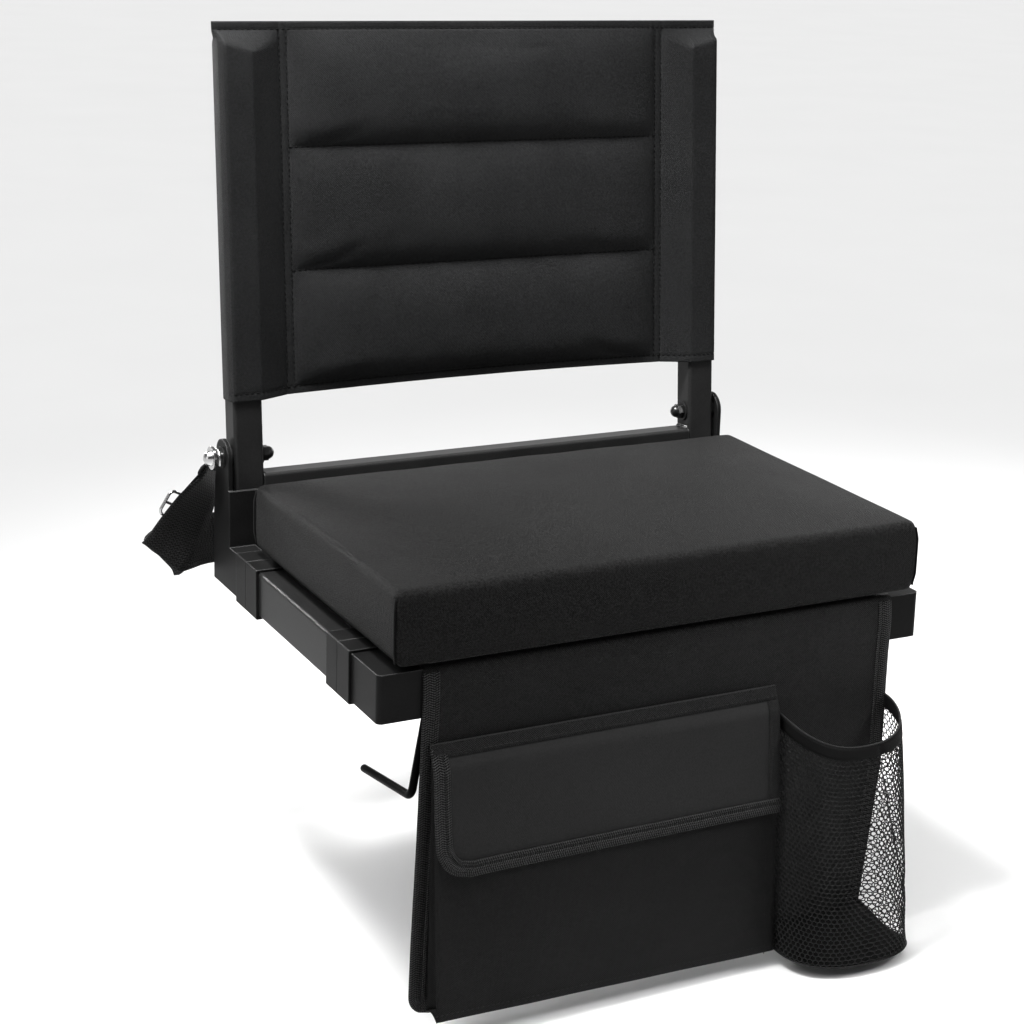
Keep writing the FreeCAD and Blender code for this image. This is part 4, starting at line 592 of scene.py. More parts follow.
# Seat cushion: a rounded block whose faces swell between its edges.
CRISP = 0.75
FRONT_DROOP = 5.0 * MM


def crispness(height, tall, turn):
    """How sharp an upright corner is at a height from its middle, down to nothing at its ends."""
    return CRISP * (1 - smoothstep(np.abs(height), tall - 2.2 * turn, tall - 0.7 * turn))


def droop(height):
    """How far the cushion's front sags at a height above its underside."""
    return FRONT_DROOP * (1 - smoothstep(height, 4 * MM, 34 * MM))


def rounded_block(low, high, turn, step):
    """Shared-corner grid of a box with rounded edges, finer near the edges and crisp down its corners."""
    middle, half = (low + high) / 2, (high - low) / 2
    lines = []
    for reach in half:
        inner = reach - turn
        count = max(2, int(round(2 * inner / step)))
        ends = [reach - turn * share for share in (0.0, 0.3, 0.65)]
        flat = list(np.linspace(-inner, inner, count + 1))
        lines.append([-end for end in ends] + flat + ends[::-1])
    index, points, faces = {}, [], []

    def corner(key):
        if key not in index:
            place = np.array([lines[axis][key[axis]] for axis in range(3)])
            core = np.clip(place, -(half - turn), half - turn)
            away = place - core
            size = np.linalg.norm(away)
            if size > 1e-9:
                rounded = core + away * turn / size
                rounded[:2] += (place[:2] - rounded[:2]) * crispness(place[2], half[2], turn)
                place = rounded
            index[key] = len(points)
            points.append(middle + place)
        return index[key]

    for axis in range(3):
        first, second = [other for other in range(3) if other != axis]
        for end in (0, len(lines[axis]) - 1):
            for a in range(len(lines[first]) - 1):
                for b in range(len(lines[second]) - 1):
                    quad = []
                    for da, db in ((0, 0), (1, 0), (1, 1), (0, 1)):
                        key = [0, 0, 0]
                        key[axis], key[first], key[second] = end, a + da, b + db
                        quad.append(corner(tuple(key)))
                    faces.append(tuple(quad))
    return np.array(points), faces


def make_cushion():
    low, high = (np.array(corner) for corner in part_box("cushion_cover"))
    crown, swell = 4.0 * MM, 2.2 * MM
    low = low + np.array([swell, swell, 0.2 * MM])
    high = high - np.array([swell, swell, crown + 0.6 * MM])
    turn = 8.0 * MM
    points, faces = rounded_block(low, high, turn, 6.0 * MM)
    seat = build("cushion", [(points, faces, points[:, :2])])
    near = (np.abs(points - low) < turn + 0.5 * MM) | (np.abs(points - high) < turn + 0.5 * MM)
    pinned = near.sum(axis=1) >= 2
    pinned |= points[:, 2] < low[2] + 1.0 * MM
    inflate(seat, pinned, 2.5, 4.0 * MM)
    moved = coordinates(seat.data)
    middle, half = (low + high) / 2, (high - low) / 2
    away = (moved - middle) / half
    rise = (1 - away[:, 0] ** 4) * (1 - away[:, 1] ** 4)
    soft = 0.5 * MM * ripple(moved[:, 0] * 30, moved[:, 1] * 36, 0.4)
    top = smoothstep(moved[:, 2], high[2] - 6 * MM, high[2])
    moved[:, 2] += top * (crown * 0.6 * np.clip(rise, 0, 1) + soft)
    moved[:, 2] = np.maximum(moved[:, 2], low[2])
    front = smoothstep(-moved[:, 1], 36 * MM, 42 * MM)
    moved[:, 2] -= front * droop(moved[:, 2] - low[2])
    seat.data.vertices.foreach_set("co", moved.ravel())
    subdivide(seat, 1)
    box_uv(seat)
    shade_smooth(seat.data)
    dress(seat, "cushion_fabric")
    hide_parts("cushion_cover", "cushion_foam")
    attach(seat, "seat")

    # Felled seams down the four corners, lying on the side faces, in the darkest seam colour: a dark seam that
    # also stands in as painted shade of the corner groove.
    parts = []
    tall = half[2]
    heights = np.linspace(-tall + 0.8 * turn, tall - 0.8 * turn, 20)
    inset = turn * (1 - math.sqrt(0.5)) * (1 - crispness(heights, tall, turn))
    for side_x, x in ((-1, low[0]), (1, high[0])):
        for side_y, y in ((-1, low[1]), (1, high[1])):
            drop = droop(heights + tall) if side_y < 0 else 0.0
            path = np.stack([x - side_x * (0.8 * inset - 1.0 * MM), y - side_y * (inset + 1.3 * MM),
                             heights + tall + low[2] - drop], axis=1)
            out = np.tile(ACROSS * side_x, (len(path), 1))
            across = np.tile(BACK * side_y, (len(path), 1))
            parts.append(swept(path, across, out, oval(1.9 * MM, 0.7 * MM)))
    seams = dress(build("cushion_seams", parts), "cushion_fabric", "seam")
    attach(seams, "seat")


# Backrest cover: stacked closed rings in the leaning frame of the uprights.
PIVOT = np.array(joints["backrest_fold"]["pos_m"])
LEAN = math.radians(4.4)
COVER_LOW, COVER_HIGH = 53.0, 398.0
SEAMS = (170.0, 284.0)
HEM_LOW, HEM_HIGH = 60.0, 391.0
STITCH_IN, STITCH_OUT = 193.0, 200.0
POST_IN, POST_OUT, POST_FACE = 228.5, 259.5, 15.5


def leaned(x, v, w):
    """Point from backrest coordinates in millimetres: across, rearward, up from the pivot."""
    y = PIVOT[1] + (v * math.cos(LEAN) + w * math.sin(LEAN)) * MM
    z = PIVOT[2] + (-v * math.sin(LEAN) + w * math.cos(LEAN)) * MM
    return np.stack(np.broadcast_arrays(x * MM, y, z), axis=-1)


def channel_swell(x, w):
    """Share of the full padding at a place on the panel, zero at every seam."""
    bounds = (HEM_LOW,) + SEAMS + (HEM_HIGH,)
    share = 0.0
    for low, high in zip(bounds, bounds[1:]):
        down = np.clip((high - w) / (high - low), 0, 1)
        rise = 1 - (1 - np.clip(down / 0.34, 0, 1)) ** 2.2
        fall = 1 - np.clip((down - 0.82) / 0.18, 0, 1) ** 2.0
        share = share + rise * fall * (0.82 + 0.18 * np.clip(down / 0.8, 0, 1))
    ends = 1 - np.clip(np.abs(x) / STITCH_IN, 0, 1) ** 13
    return share * ends


def cover_depth(x, w, face):
    """Depth of the cover's front (face -1) or rear (face 1) at a place, in millimetres."""
    seam, swell = 1.9, (8.0 if face < 0 else 3.6)
    side = np.abs(x)
    panel = seam + swell * channel_swell(x, w)
    slant = np.interp(side, [STITCH_OUT, POST_IN, POST_IN + 1.2, POST_OUT],
                      [seam, POST_FACE - 0.6, POST_FACE, POST_FACE])
    closing = np.interp(side, [STITCH_OUT, POST_IN, POST_OUT], [8.0, 20.0, 11.0])
    slant = slant + (1.7 - slant) * np.clip((w - HEM_HIGH + closing) / (closing - 1.0), 0, 1)
    depth = np.where(side < STITCH_OUT, panel, slant)
    groove = np.exp(-((side - STITCH_IN) / 1.3) ** 2) + np.exp(-((side - STITCH_OUT) / 1.3) ** 2)
    hem = np.exp(-((w - HEM_LOW) / 1.2) ** 2) + np.exp(-((w - HEM_HIGH) / 1.2) ** 2)
    depth = depth - 0.5 * np.clip(groove + hem, 0, 1)
    pucker = 0.35 * ripple(x / 19.0, w / 30.0, 1.1 + face)
    return face * (depth + pucker * np.where(side < STITCH_IN, 1.0, 0.5))


def hem_lift(x, w):
    """How far the cover's lower edge is drawn up between the uprights."""
    between = 1 - np.clip(np.abs(x) / POST_IN, 0, 1) ** 2
    return 3.5 * between * (1 - smoothstep(w, COVER_LOW, COVER_LOW + 60))


def make_back():
    half = list(np.arange(0, 188, 6.0)) + [188, 190.5, 192, 193, 194, 196, 199, 200, 201, 203, 208, 214]
    half += [221, 226, 228.5, 229.7, 232, 238, 246, 253, 257]
    across = np.array([-x for x in reversed(half[1:])] + half)
    heights = set(np.round(np.arange(COVER_LOW, COVER_HIGH + 0.1, 5.0), 2)) | {COVER_HIGH, COVER_LOW + 1.0}
    for seam in SEAMS + (HEM_LOW, HEM_HIGH):
        heights |= {seam + d for d in (-5, -2.5, -1.2, 0, 1.2, 2.5, 5)}
    heights |= set(np.arange(HEM_HIGH - 21, HEM_HIGH - 5, 2.0))
    heights = np.array(sorted(heights))
    rings = []
    for w in heights:
        spread = 3.0 * smoothstep(w, HEM_HIGH - 9, HEM_HIGH)
        edge = POST_OUT + spread
        x = across * (1 + (spread / POST_OUT) * smoothstep(np.abs(across), 205, POST_OUT))
        lift = hem_lift(x, w)
        front, rear = cover_depth(x, w, -1), cover_depth(x, w, 1)
        thick = cover_depth(np.array([POST_OUT]), w, 1)[0]
        sides = np.linspace(-1, 1, 5)[1:-1] * (thick - 1.2)
        ring = [leaned(x, front, w + lift)]
        ring.append(leaned(np.full(3, edge), sides, np.full(3, w)))
        ring.append(leaned(x[::-1], rear[::-1], w + lift[::-1]))
        ring.append(leaned(np.full(3, -edge), -sides, np.full(3, w)))
        rings.append(np.concatenate(ring))
    around = len(rings[0])
    width = len(across)

    # Inside of the open lower edge: a hem turned up into the sleeves.
    centre = np.concatenate([leaned(across, np.zeros(width), np.full(width, COVER_LOW)),
                             leaned(np.full(3, POST_IN), np.zeros(3), np.full(3, COVER_LOW)),
                             leaned(across[::-1], np.zeros(width), np.full(width, COVER_LOW)),
                             leaned(np.full(3, -POST_IN), np.zeros(3), np.full(3, COVER_LOW))])
    inner = []
    for raise_by in (0.6, 14.0):
        ring = rings[0].copy()
        inwards = centre - ring
        inwards[:, 2] = 0
        size = np.maximum(np.linalg.norm(inwards, axis=1, keepdims=True), 1e-9)
        ring = ring + inwards / size * np.minimum(size * 0.7, 1.6 * MM)
        ring[:, 2] += raise_by * MM
        inner.append(ring)
    stack = inner[::-1] + rings
    points = np.concatenate(stack)
    faces, uvs = [], []
    round_side = np.array([8.0, 16.0, 24.0])
    run = np.concatenate([across, POST_OUT + round_side, across[::-1] + 600, 900.0 + round_side])
    for number in range(len(stack)):
        level = heights[max(number - 2, 0)] - (8 if number == 0 else 0)
        uvs += [(u * MM, level * MM) for u in run]
    for level in range(len(stack) - 1):
        for index in range(around):
            following = (index + 1) % around
            a, b = level * around, (level + 1) * around
            faces.append((a + index, a + following, b + following, b + index))

    def cap(base):
        """Close a ring by strips between its front and its rear."""
        front = [base + index for index in range(width)]
        rear = [base + width + 3 + index for index in range(width)][::-1]
        strips = [(front[i], front[i + 1], rear[i + 1], rear[i]) for i in range(width - 1)]
        right = [base + width + index for index in range(3)]
        left = [base + 2 * width + 3 + index for index in range(3)]
        strips.append(tuple([front[-1]] + right + [rear[-1]]))
        strips.append(tuple([rear[0]] + left + [front[0]]))
        return strips

    faces += cap(0) + cap((len(stack) - 1) * around)
    cover = build("back_sling", [(points, faces, uvs)])
    around_x = np.concatenate([across, np.full(3, POST_OUT), across[::-1], np.full(3, -POST_OUT)])
    place_x = np.tile(around_x, len(stack))
    place_w = np.repeat(np.concatenate([[COVER_LOW, COVER_LOW], heights]), around)
    seam_near = np.min([np.abs(place_w - seam) for seam in SEAMS + (HEM_LOW, HEM_HIGH)], axis=0)
    pinned = (np.abs(place_x) > STITCH_IN - 1) | (seam_near < 2.0)
    pinned |= (place_w < HEM_LOW) | (place_w > HEM_HIGH)
    inflate(cover, pinned, 1.0, 2.2 * MM)
    dress(cover, "back_fabric")
    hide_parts("back_cover", "back_pads")
    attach(cover, "backrest")

    # Thread along the sleeve lines, the cross seams and the hems, on both faces, in the darkest seam colour: dark
    # thread that also stands in as painted shade of the stitch holes.
    rows = []
    tall = np.linspace(HEM_LOW + 2, HEM_HIGH - 2, 60)
    wide = np.linspace(-STITCH_IN + 2, STITCH_IN - 2, 60)
    full = np.linspace(-POST_OUT + 4, POST_OUT - 4, 90)
    for face in (-1, 1):
        proud = 0.25 * face
        for x in (-STITCH_OUT, -STITCH_IN, STITCH_IN, STITCH_OUT):
            spots = np.full(len(tall), x)
            rows.append(leaned(spots, cover_depth(spots, tall, face) + proud, tall))
        for w in SEAMS:
            level = np.full(len(wide), w)
            rows.append(leaned(wide, cover_depth(wide, level, face) + proud, level))
        for w in (HEM_LOW, HEM_HIGH):
            level = np.full(len(full), w)
            rows.append(leaned(full, cover_depth(full, level, face) + proud, level + hem_lift(full, level)))
    sewn = stitches("back_stitches", rows, FINISH["seam"], 5.4 * MM, 3.6 * MM, 0.6 * MM)
    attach(sewn, "backrest")


# Apron: one cloth over the front bar that hangs below it, bound along its free edges.
APRON_LEFT, APRON_RIGHT, APRON_LOW = -235.0, 233.0, -262.5
APRON_CORNER = 18.0
# Heights on the right edge, and how far it is drawn in there.
APRON_TAPER = ([-258.0, -115.0], [-16.0, 0.0])
APRON_TAPE, APRON_TAPE_THICK, APRON_SEWN = 14 * MM, 3.2 * MM, 10.2 * MM


def apron_profile():
    """Rear-to-front, then downward line of the apron's middle surface: (y, z) in millimetres."""
    line = [(-13.0, 45.6), (-20.0, 45.6), (-27.0, 45.6)]
    for angle in np.linspace(90, 180, 7):
        line.append((-30.5 + 5.5 * math.cos(math.radians(angle)), 40.1 + 5.5 * math.sin(math.radians(angle))))
    line += [(-36.6, z) for z in np.linspace(34, 8, 6)]
    line += [(-37.0, z) for z in np.linspace(2, -244, 62)]
    line += [(-37.0, z) for z in np.linspace(-247, APRON_LOW, 8)]
    return np.array(line)


def apron_edges(z):
    """Left and right edge of the apron at a height, with the rounded lower corners."""
    left = np.interp(z, [-262.0, -200.0, -100.0, 0.0, 45.0], [APRON_LEFT, -233.5, -229.5, -226.5, -226.0])
    right = APRON_RIGHT + np.interp(z, *APRON_TAPER)
    below = np.clip(APRON_LOW + APRON_CORNER - z, 0, APRON_CORNER)
    draw = APRON_CORNER - np.sqrt(np.maximum(APRON_CORNER ** 2 - below ** 2, 0))
    return left + draw, right - draw


def apron_grid():
    line = apron_profile()
    shares = np.linspace(0, 1, 79)
    grid = np.zeros((len(line), len(shares), 3))
    for row, (y, z) in enumerate(line):
        left, right = apron_edges(z)
        x = left + (right - left) * shares
        bow = 2.4 * math.exp(-((z - 18) / 16) ** 2) if z < 40 else 0.0
        loose = 1.0 * smoothstep(np.array(-z), -36, 30) * (1 - 0.75 * smoothstep(np.array(-z), 30, 60))
        billow = bow * (0.6 + 0.4 * ripple(x / 90, np.full_like(x, z / 60), 2.0))
        billow = billow + loose * ripple(x / 55, np.full_like(x, z / 38), 0.7)
        slope = 8.0 * shares * np.clip(z / APRON_LOW, 0, 1) ** 2
        grid[row] = np.stack([x, y - np.maximum(billow, -0.4), z - slope], axis=1)
    return grid * MM


def hang(obj):
    """Bake a cloth piece's placement into its mesh."""
    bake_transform(obj)


def make_apron():
    grid = apron_grid()
    cloth = dress(build("apron_cloth", [cloth_sheet(grid, 1.6 * MM)]), "apron_fabric")
    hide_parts("apron_header", "apron_panel")
    hang(cloth)

    left, bottom, right = grid[8:, 0], grid[-1, 1:-1], grid[8:, -1]
    path = np.concatenate([left, bottom, right[::-1]])
    inward = towards(path, np.array([0.0, 0.0, -0.12]))
    binding = tape(path, inward, APRON_TAPE, APRON_TAPE_THICK, APRON_SEWN)
    edging = dress(build("apron_edging", [binding]), "binding")
    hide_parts("apron_binding")
    hang(edging)

    # Thread along the binding, left out where the flap folds over it.
    line = path + inward * APRON_SEWN - BACK * 1.3 * MM
    count = len(left)
    clear = line[:count]
    upper, lower = clear[clear[:, 2] > -12 * MM], clear[clear[:, 2] < -60 * MM]
    sewn = stitches("apron_stitches", [upper, np.concatenate([lower, line[count:]])], FINISH["thread"])
    hang(sewn)


# Cargo pocket: front, pleated sides and floor, hung on the apron.
POCKET_LEFT, POCKET_RIGHT = -220.0, 111.0
POCKET_TOP, POCKET_LOW = -34.0, -260.0
POCKET_DROP, POCKET_SEAM = 8.0, 0.9
PANEL_FACE = -38.2


def pocket_depth(z):
    return np.interp(-z, [-POCKET_TOP, -POCKET_LOW], [7.5, 22.5])


def make_pocket():
    rows = np.linspace(0, 1, 40)
    gusset = np.linspace(0, 1, 9)
    front_x = np.linspace(POCKET_LEFT, POCKET_RIGHT, 67)
    grid = []
    for share in rows:
        z = POCKET_TOP + (POCKET_LOW - POCKET_TOP) * share
        depth = pocket_depth(z)
        pleat = 11.0 * smoothstep(np.array(share), 0.0, 0.35)
        tuck = 1.2 + pleat * (1 - np.abs(2 * gusset - 1))
        side_y = PANEL_FACE - POCKET_SEAM - (depth - POCKET_SEAM) * gusset
        left = list(zip(POCKET_LEFT + tuck, side_y))
        right = list(zip(POCKET_RIGHT - tuck, side_y))
        inset = np.minimum(front_x - POCKET_LEFT, POCKET_RIGHT - front_x)
        belly = 1.6 * math.sin(math.pi * share) * smoothstep(inset, 0, 90)
        soft = 0.5 * ripple(front_x / 45, np.full_like(front_x, z / 50), 3.1) * smoothstep(inset, 0, 30)
        front = list(zip(front_x, PANEL_FACE - depth - belly - soft))
        line = left[:-1] + front + right[::-1][1:]
        fall = POCKET_DROP * share ** 2
        grid.append([(x, y, z - fall * (x - POCKET_LEFT) / (POCKET_RIGHT - POCKET_LEFT)) for x, y in line])
    grid = np.array(grid) * MM
    folds = len(gusset) - 1
    front = grid[:, folds:-folds]
    low = front[-1]
    floor = []
    for share in np.linspace(0, 1, 8):
        strip = low.copy()
        strip[:, 1] = low[:, 1] + ((PANEL_FACE - POCKET_SEAM) * MM - low[:, 1]) * share
        strip[:, 2] = low[:, 2] + 4.0 * MM * math.sin(math.pi * share)
        floor.append(strip)
    parts = [cloth_sheet(grid, 1.2 * MM), cloth_sheet(np.array(floor), 1.2 * MM)]
    # The pocket takes the darker copy of the apron cloth, as painted shade.
    pocket = dress(build("pocket_bag", parts), "apron_fabric", "pocket")
    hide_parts("cargo_pocket")
    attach(pocket, "apron")
    proud = -BACK * 0.7 * MM
    rows = [front[:, -3] + proud, front[-2] + proud]
    sewn = stitches("pocket_stitches", rows, FINISH["thread"])
    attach(sewn, "apron")


# Flap over the pocket mouth, with a woven edge on its left and lower sides and turned hems elsewhere.
FLAP_LEFT, FLAP_RIGHT, FLAP_TOP, FLAP_LOW = -221.0, 110.0, -19.5, -133.0
FLAP_CORNER, FLAP_HEM = 30.0, 11.0
FLAP_TAPE, FLAP_TAPE_THICK, FLAP_SEWN = 13.5 * MM, 3.4 * MM, 9.0 * MM


def flap_depth(x, z):
    """Y of the flap's middle surface, clear of the pocket behind it."""
    share = np.clip((FLAP_TOP - z) / (FLAP_TOP - FLAP_LOW), 0, 1)
    hang_y = np.interp(-z, [19.5, 26.0, 40.0, 80.0, 133.0], [-39.9, -42.6, -50.0, -53.6, -58.4])
    curl = 2.6 * smoothstep(FLAP_LEFT + 70 - x, 0, 70) * smoothstep(share, 0.45, 1.0)
    soft = 0.7 * ripple(x / 60, z / 40, 5.2) * smoothstep(share, 0.1, 0.5)
    return hang_y - curl - soft


def flap_row(x, z):
    return np.stack([x, flap_depth(x, z), np.full_like(x, z)], axis=1)


def make_flap():
    rows = np.concatenate([np.linspace(FLAP_TOP, -44, 8), np.linspace(-49, FLAP_LOW + FLAP_CORNER, 16),
                           np.linspace(FLAP_LOW + FLAP_CORNER - 3, FLAP_LOW, 9)])
    shares = np.linspace(0, 1, 68)
    grid = []
    for z in rows:
        below = np.clip(FLAP_LOW + FLAP_CORNER - z, 0, FLAP_CORNER)
        draw = FLAP_CORNER - math.sqrt(max(FLAP_CORNER ** 2 - below ** 2, 0))
        x = (FLAP_LEFT + draw) + (FLAP_RIGHT - FLAP_LEFT - draw) * shares
        grid.append(flap_row(x, z))
    grid = np.array(grid) * MM
    flap = dress(build("flap_cloth", [cloth_sheet(grid, 1.8 * MM)]), "flap_fabric")
    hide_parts("pocket_flap")
    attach(flap, "flap")

    path = np.concatenate([grid[1:, 0], grid[-1, 1:]])
    inward = towards(path, np.array([-0.05, -0.05, -0.07]))
    binding = tape(path, inward, FLAP_TAPE, FLAP_TAPE_THICK, FLAP_SEWN)
    edging = dress(build("flap_edging", [binding]), "binding")
    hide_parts("flap_binding")
    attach(edging, "flap")

    # Turned hems along the top and down the right side, and thread on every edge.
    top_x = np.linspace(FLAP_LEFT + 1, FLAP_RIGHT - 1, 68)
    top_z = np.linspace(FLAP_TOP - 0.5, FLAP_TOP - FLAP_HEM, 5)
    side_x = np.linspace(FLAP_RIGHT - FLAP_HEM, FLAP_RIGHT - 0.3, 4)
    side_z = np.linspace(FLAP_TOP - FLAP_HEM - 0.5, FLAP_LOW + 10.5, 26)
    top = np.array([flap_row(top_x, z) for z in top_z]) * MM
    side = np.array([flap_row(side_x, z) for z in side_z]) * MM
    strips = [cloth_sheet(cells - BACK * 1.35 * MM, 1.0 * MM) for cells in (top, side)]
    # The hems take the darker apron cloth: partly the darker turned cloth, partly painted shade along the right
    # border.
    hems = dress(build("flap_hems", strips), "flap_fabric", "apron_fabric")
    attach(hems, "flap")
    out = -BACK * 2.0 * MM
    rows = [top[3] + out, top[0] + out, side[:, 1] + out, path + inward * FLAP_SEWN - BACK * 1.4 * MM]
    sewn = stitches("flap_stitches", rows, FINISH["thread"])
    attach(sewn, "flap")


# Mesh pouch: a net bag with hexagonal holes, gathered by an elastic band.
POUCH_LEFT, POUCH_RIGHT = 117.5, 232.0
POUCH_TOP, POUCH_LOW, BAND = -48.5, -273.0, 12.0
NET_WIDE, NET_PITCH, STRAND = 196.0, 5.0, 0.60 * MM
FLOOR_RISE = 19.0


def pouch_point(turn, share):
    """Point of the pouch at a turn (0 left edge, 1 right edge) and a share of its height."""
    angle = math.pi * (1 - turn)
    c, s = np.cos(angle), np.sin(angle)
    reach = 57.0 + 14.5 * share ** 0.8
    half = (POUCH_RIGHT - POUCH_LEFT) / 2
    sag = 19.0 * s ** 1.3 * (1 - share)
    x = (POUCH_LEFT + POUCH_RIGHT) / 2 + half * np.sign(c) * np.abs(c) ** 0.8
    x = x + (11.0 * share ** 0.5 + 18.0 * share ** 2) * s ** 0.7 * (0.35 + 0.65 * c)
    y = PANEL_FACE - 1.0 - reach * np.maximum(s, 0) ** 0.8
    held = np.sin(math.pi * np.clip(share, 0, 1)) ** 0.7
    crease = 3.0 * np.sin(17 * turn + 5 * share + 2.0 * np.sin(4.0 * share + turn * 3)) * s * held
    pleat = turn - 0.58 - 0.27 * (share - 0.13)
    length = np.sin(math.pi * np.clip(share / 0.8, 0, 1)) ** 0.6
    crease = crease - 5.0 * np.exp(-(pleat / 0.015) ** 2) * length
    x = x + crease * c
    y = y - crease * s
    z = POUCH_TOP + (POUCH_LOW - POUCH_TOP) * share - sag + 4.0 * (1 - s) * share ** 3
    x = x + np.interp(z, *APRON_TAPER) * np.maximum(c, 0) ** 8
    return np.stack(np.broadcast_arrays(x, y, z), axis=-1) * MM


def honeycomb(wide, tall, pitch):
    """Points and edges of a hexagon net over a rectangle, in the rectangle's own units."""
    side = pitch / math.sqrt(3)
    index, points, edges = {}, [], []

    def at(x, y):
        key = (round(x / pitch * 4), round(y / side * 4))
        if key not in index:
            index[key] = len(points)
            points.append((min(max(x, 0.0), wide), min(max(y, 0.0), tall)))
        return index[key]

    for row in range(int(tall / (1.5 * side)) + 1):
        for column in range(int(wide / pitch) + 1):
            x = (column + 0.5 * (row % 2)) * pitch
            y = row * 1.5 * side
            top = at(x, y + side)
            right = at(x + pitch / 2, y + side / 2)
            low = at(x + pitch / 2, y - side / 2)
            left = at(x - pitch / 2, y + side / 2)
            edges += [(top, right), (right, low), (left, top)]
    kept = sorted({tuple(sorted(edge)) for edge in edges if points[edge[0]] != points[edge[1]]})
    return np.array(points), kept


def rolled(path, wide, tall):
    """Oval roll along a level path."""
    up = np.tile(UP, (len(path), 1))
    out = unit(np.cross(np.gradient(path, axis=0), up))
    return swept(path, out, up, oval(wide, tall))


def make_pouch():
    first = BAND / (POUCH_TOP - POUCH_LOW)
    tall = (POUCH_TOP - POUCH_LOW) * (1 - first)
    flat, edges = honeycomb(NET_WIDE, tall, NET_PITCH)
    wall = pouch_point(flat[:, 0] / NET_WIDE, first * 0.6 + (1 - first * 0.6) * flat[:, 1] / tall)
    bag = net("pouch_mesh", wall, edges, FINISH["mesh"], STRAND)

    # Floor: close-knit cloth from the pouch's lower edge back to the apron.
    turns = np.linspace(0.0, 1.0, 121)
    rim = pouch_point(turns, np.ones_like(turns)) / MM
    rows = []
    for share in np.linspace(0.0, 1.0, 14):
        row = rim.copy()
        row[:, 0] = np.minimum(rim[:, 0], rim[-1, 0] + (rim[:, 0].max() - rim[-1, 0]) * (1 - share))
        row[:, 1] = rim[:, 1] + (PANEL_FACE - 1.0 - rim[:, 1]) * share
        row[:, 2] = rim[:, 2] + FLOOR_RISE * smoothstep(np.array(share), 0.1, 1.0) + 0.5
        rows.append(row)
    rows[-1][:, 1] -= np.linspace(0.0, 1e-3, len(turns))
    # The floor takes the darkest seam colour: partly its closer knit, partly painted shade inside the bag.
    floor = dress(build("pouch_floor", [cloth_sheet(np.array(rows) * MM, 0.8 * MM)]), "mesh", "seam")
    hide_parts("pouch_net")
    for piece in (bag, floor):
        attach(piece, "apron")

    # Rolled seam round the floor, and the elastic band round the mouth with its rolled lip, in the lighter thread
    # colour as a painted highlight along the band's upper edge.
    hem = dress(build("pouch_hem", [rolled(rim * MM, 1.1 * MM, 1.0 * MM)]), "mesh")
    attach(hem, "apron")
    shares = np.linspace(0.0, first, 5)
    grid = np.array([pouch_point(turns, np.full_like(turns, share)) for share in shares])
    band = dress(build("pouch_elastic", [cloth_sheet(grid, 2.0 * MM)]), "binding", "seam")
    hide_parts("pouch_band")
    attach(band, "apron")
    edge = rolled(grid[0] + UP * 0.6 * MM, 1.1 * MM, 0.7 * MM)
    band_highlight = dress(build("pouch_lip_highlight", [edge]), "binding", "thread")
    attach(band_highlight, "apron")


# Carrying strap: flat webbing along the CAD strap's own line, doubled back where it is sewn round the loop.
TURN_BACK, STRAP_HALF = 58 * MM, 25 * MM
RAIL_X, REAR_Y, STRAP_LEVEL = 0.265, 0.365, 0.0266
# Behind the frame: share of the half width, distance behind the rear face, height and turn to upright.
STRAP_RUN = (
    (-1.07, 0.034, STRAP_LEVEL - 0.0005, 0.4), (-0.98, 0.04275, STRAP_LEVEL, 0.85),
    (-0.77, 0.049, STRAP_LEVEL, 1.0), (-0.23, 0.0499, STRAP_LEVEL, 1.0), (0.38, 0.049, STRAP_LEVEL, 1.0),
    (0.6, 0.0365, STRAP_LEVEL, 1.0), (0.77, 0.014, STRAP_LEVEL, 1.0), (0.865, 0.0034, STRAP_LEVEL, 1.0),
    (0.91, 0.001, STRAP_LEVEL, 1.0), (0.989, 0.001, STRAP_LEVEL, 1.0),
)


def mixed(first, second, share):
    return first * (1 - share) + second * share


def eased(t, before, start, end, after):
    """Point of a smooth curve from start to end, with slopes no longer than that step."""
    slopes = [(end - before) * 0.5, (after - start) * 0.5]
    limit = np.linalg.norm(end - start)
    for slope in slopes:
        size = np.linalg.norm(slope)
        if size > limit > 0:
            slope *= limit / size
    return ((2 * t ** 3 - 3 * t ** 2 + 1) * start + (t ** 3 - 2 * t ** 2 + t) * slopes[0]
            + (3 * t ** 2 - 2 * t ** 3) * end + (t ** 3 - t ** 2) * slopes[1])


def strap_stations():
    """Middle of the strap and the direction across it: loop, fold, then the run behind the frame."""
    start = np.array([-0.2641, REAR_Y + 0.019, 0.092])
    fold = np.array([-RAIL_X - 0.042, REAR_Y + 0.019, 0.0215])
    hung = unit(np.array([27.0, 38.0, -33.0]))
    folded = unit(np.array([32.4, 0.0, -38.9]))
    along = unit(fold - start)
    loop = start + unit(np.cross(along, hung)) * 2.4 * MM
    stations = [(loop - along * 11.5 * MM, hung), (loop, hung)]
    for share, turn in ((0.28, 0.4), (0.6, 0.75), (0.88, 1.0)):
        stations.append((mixed(start, fold, share), mixed(hung, folded, turn)))
    for step in ((-0.0015, 0.002, -0.001), (-0.001, 0.0065, -0.0005), (0.005, 0.010, 0.002)):
        stations.append((fold + step, folded))
    for share, behind, z, turn in STRAP_RUN:
        stations.append((np.array([RAIL_X * share, REAR_Y + behind, z]), mixed(folded, -UP, turn)))
    return stations


def turned_uv(part):
    """Swap the UVs so that U runs along the strap."""
    points, faces, uvs = part
    return points, faces, [(v, u) for u, v in uvs]


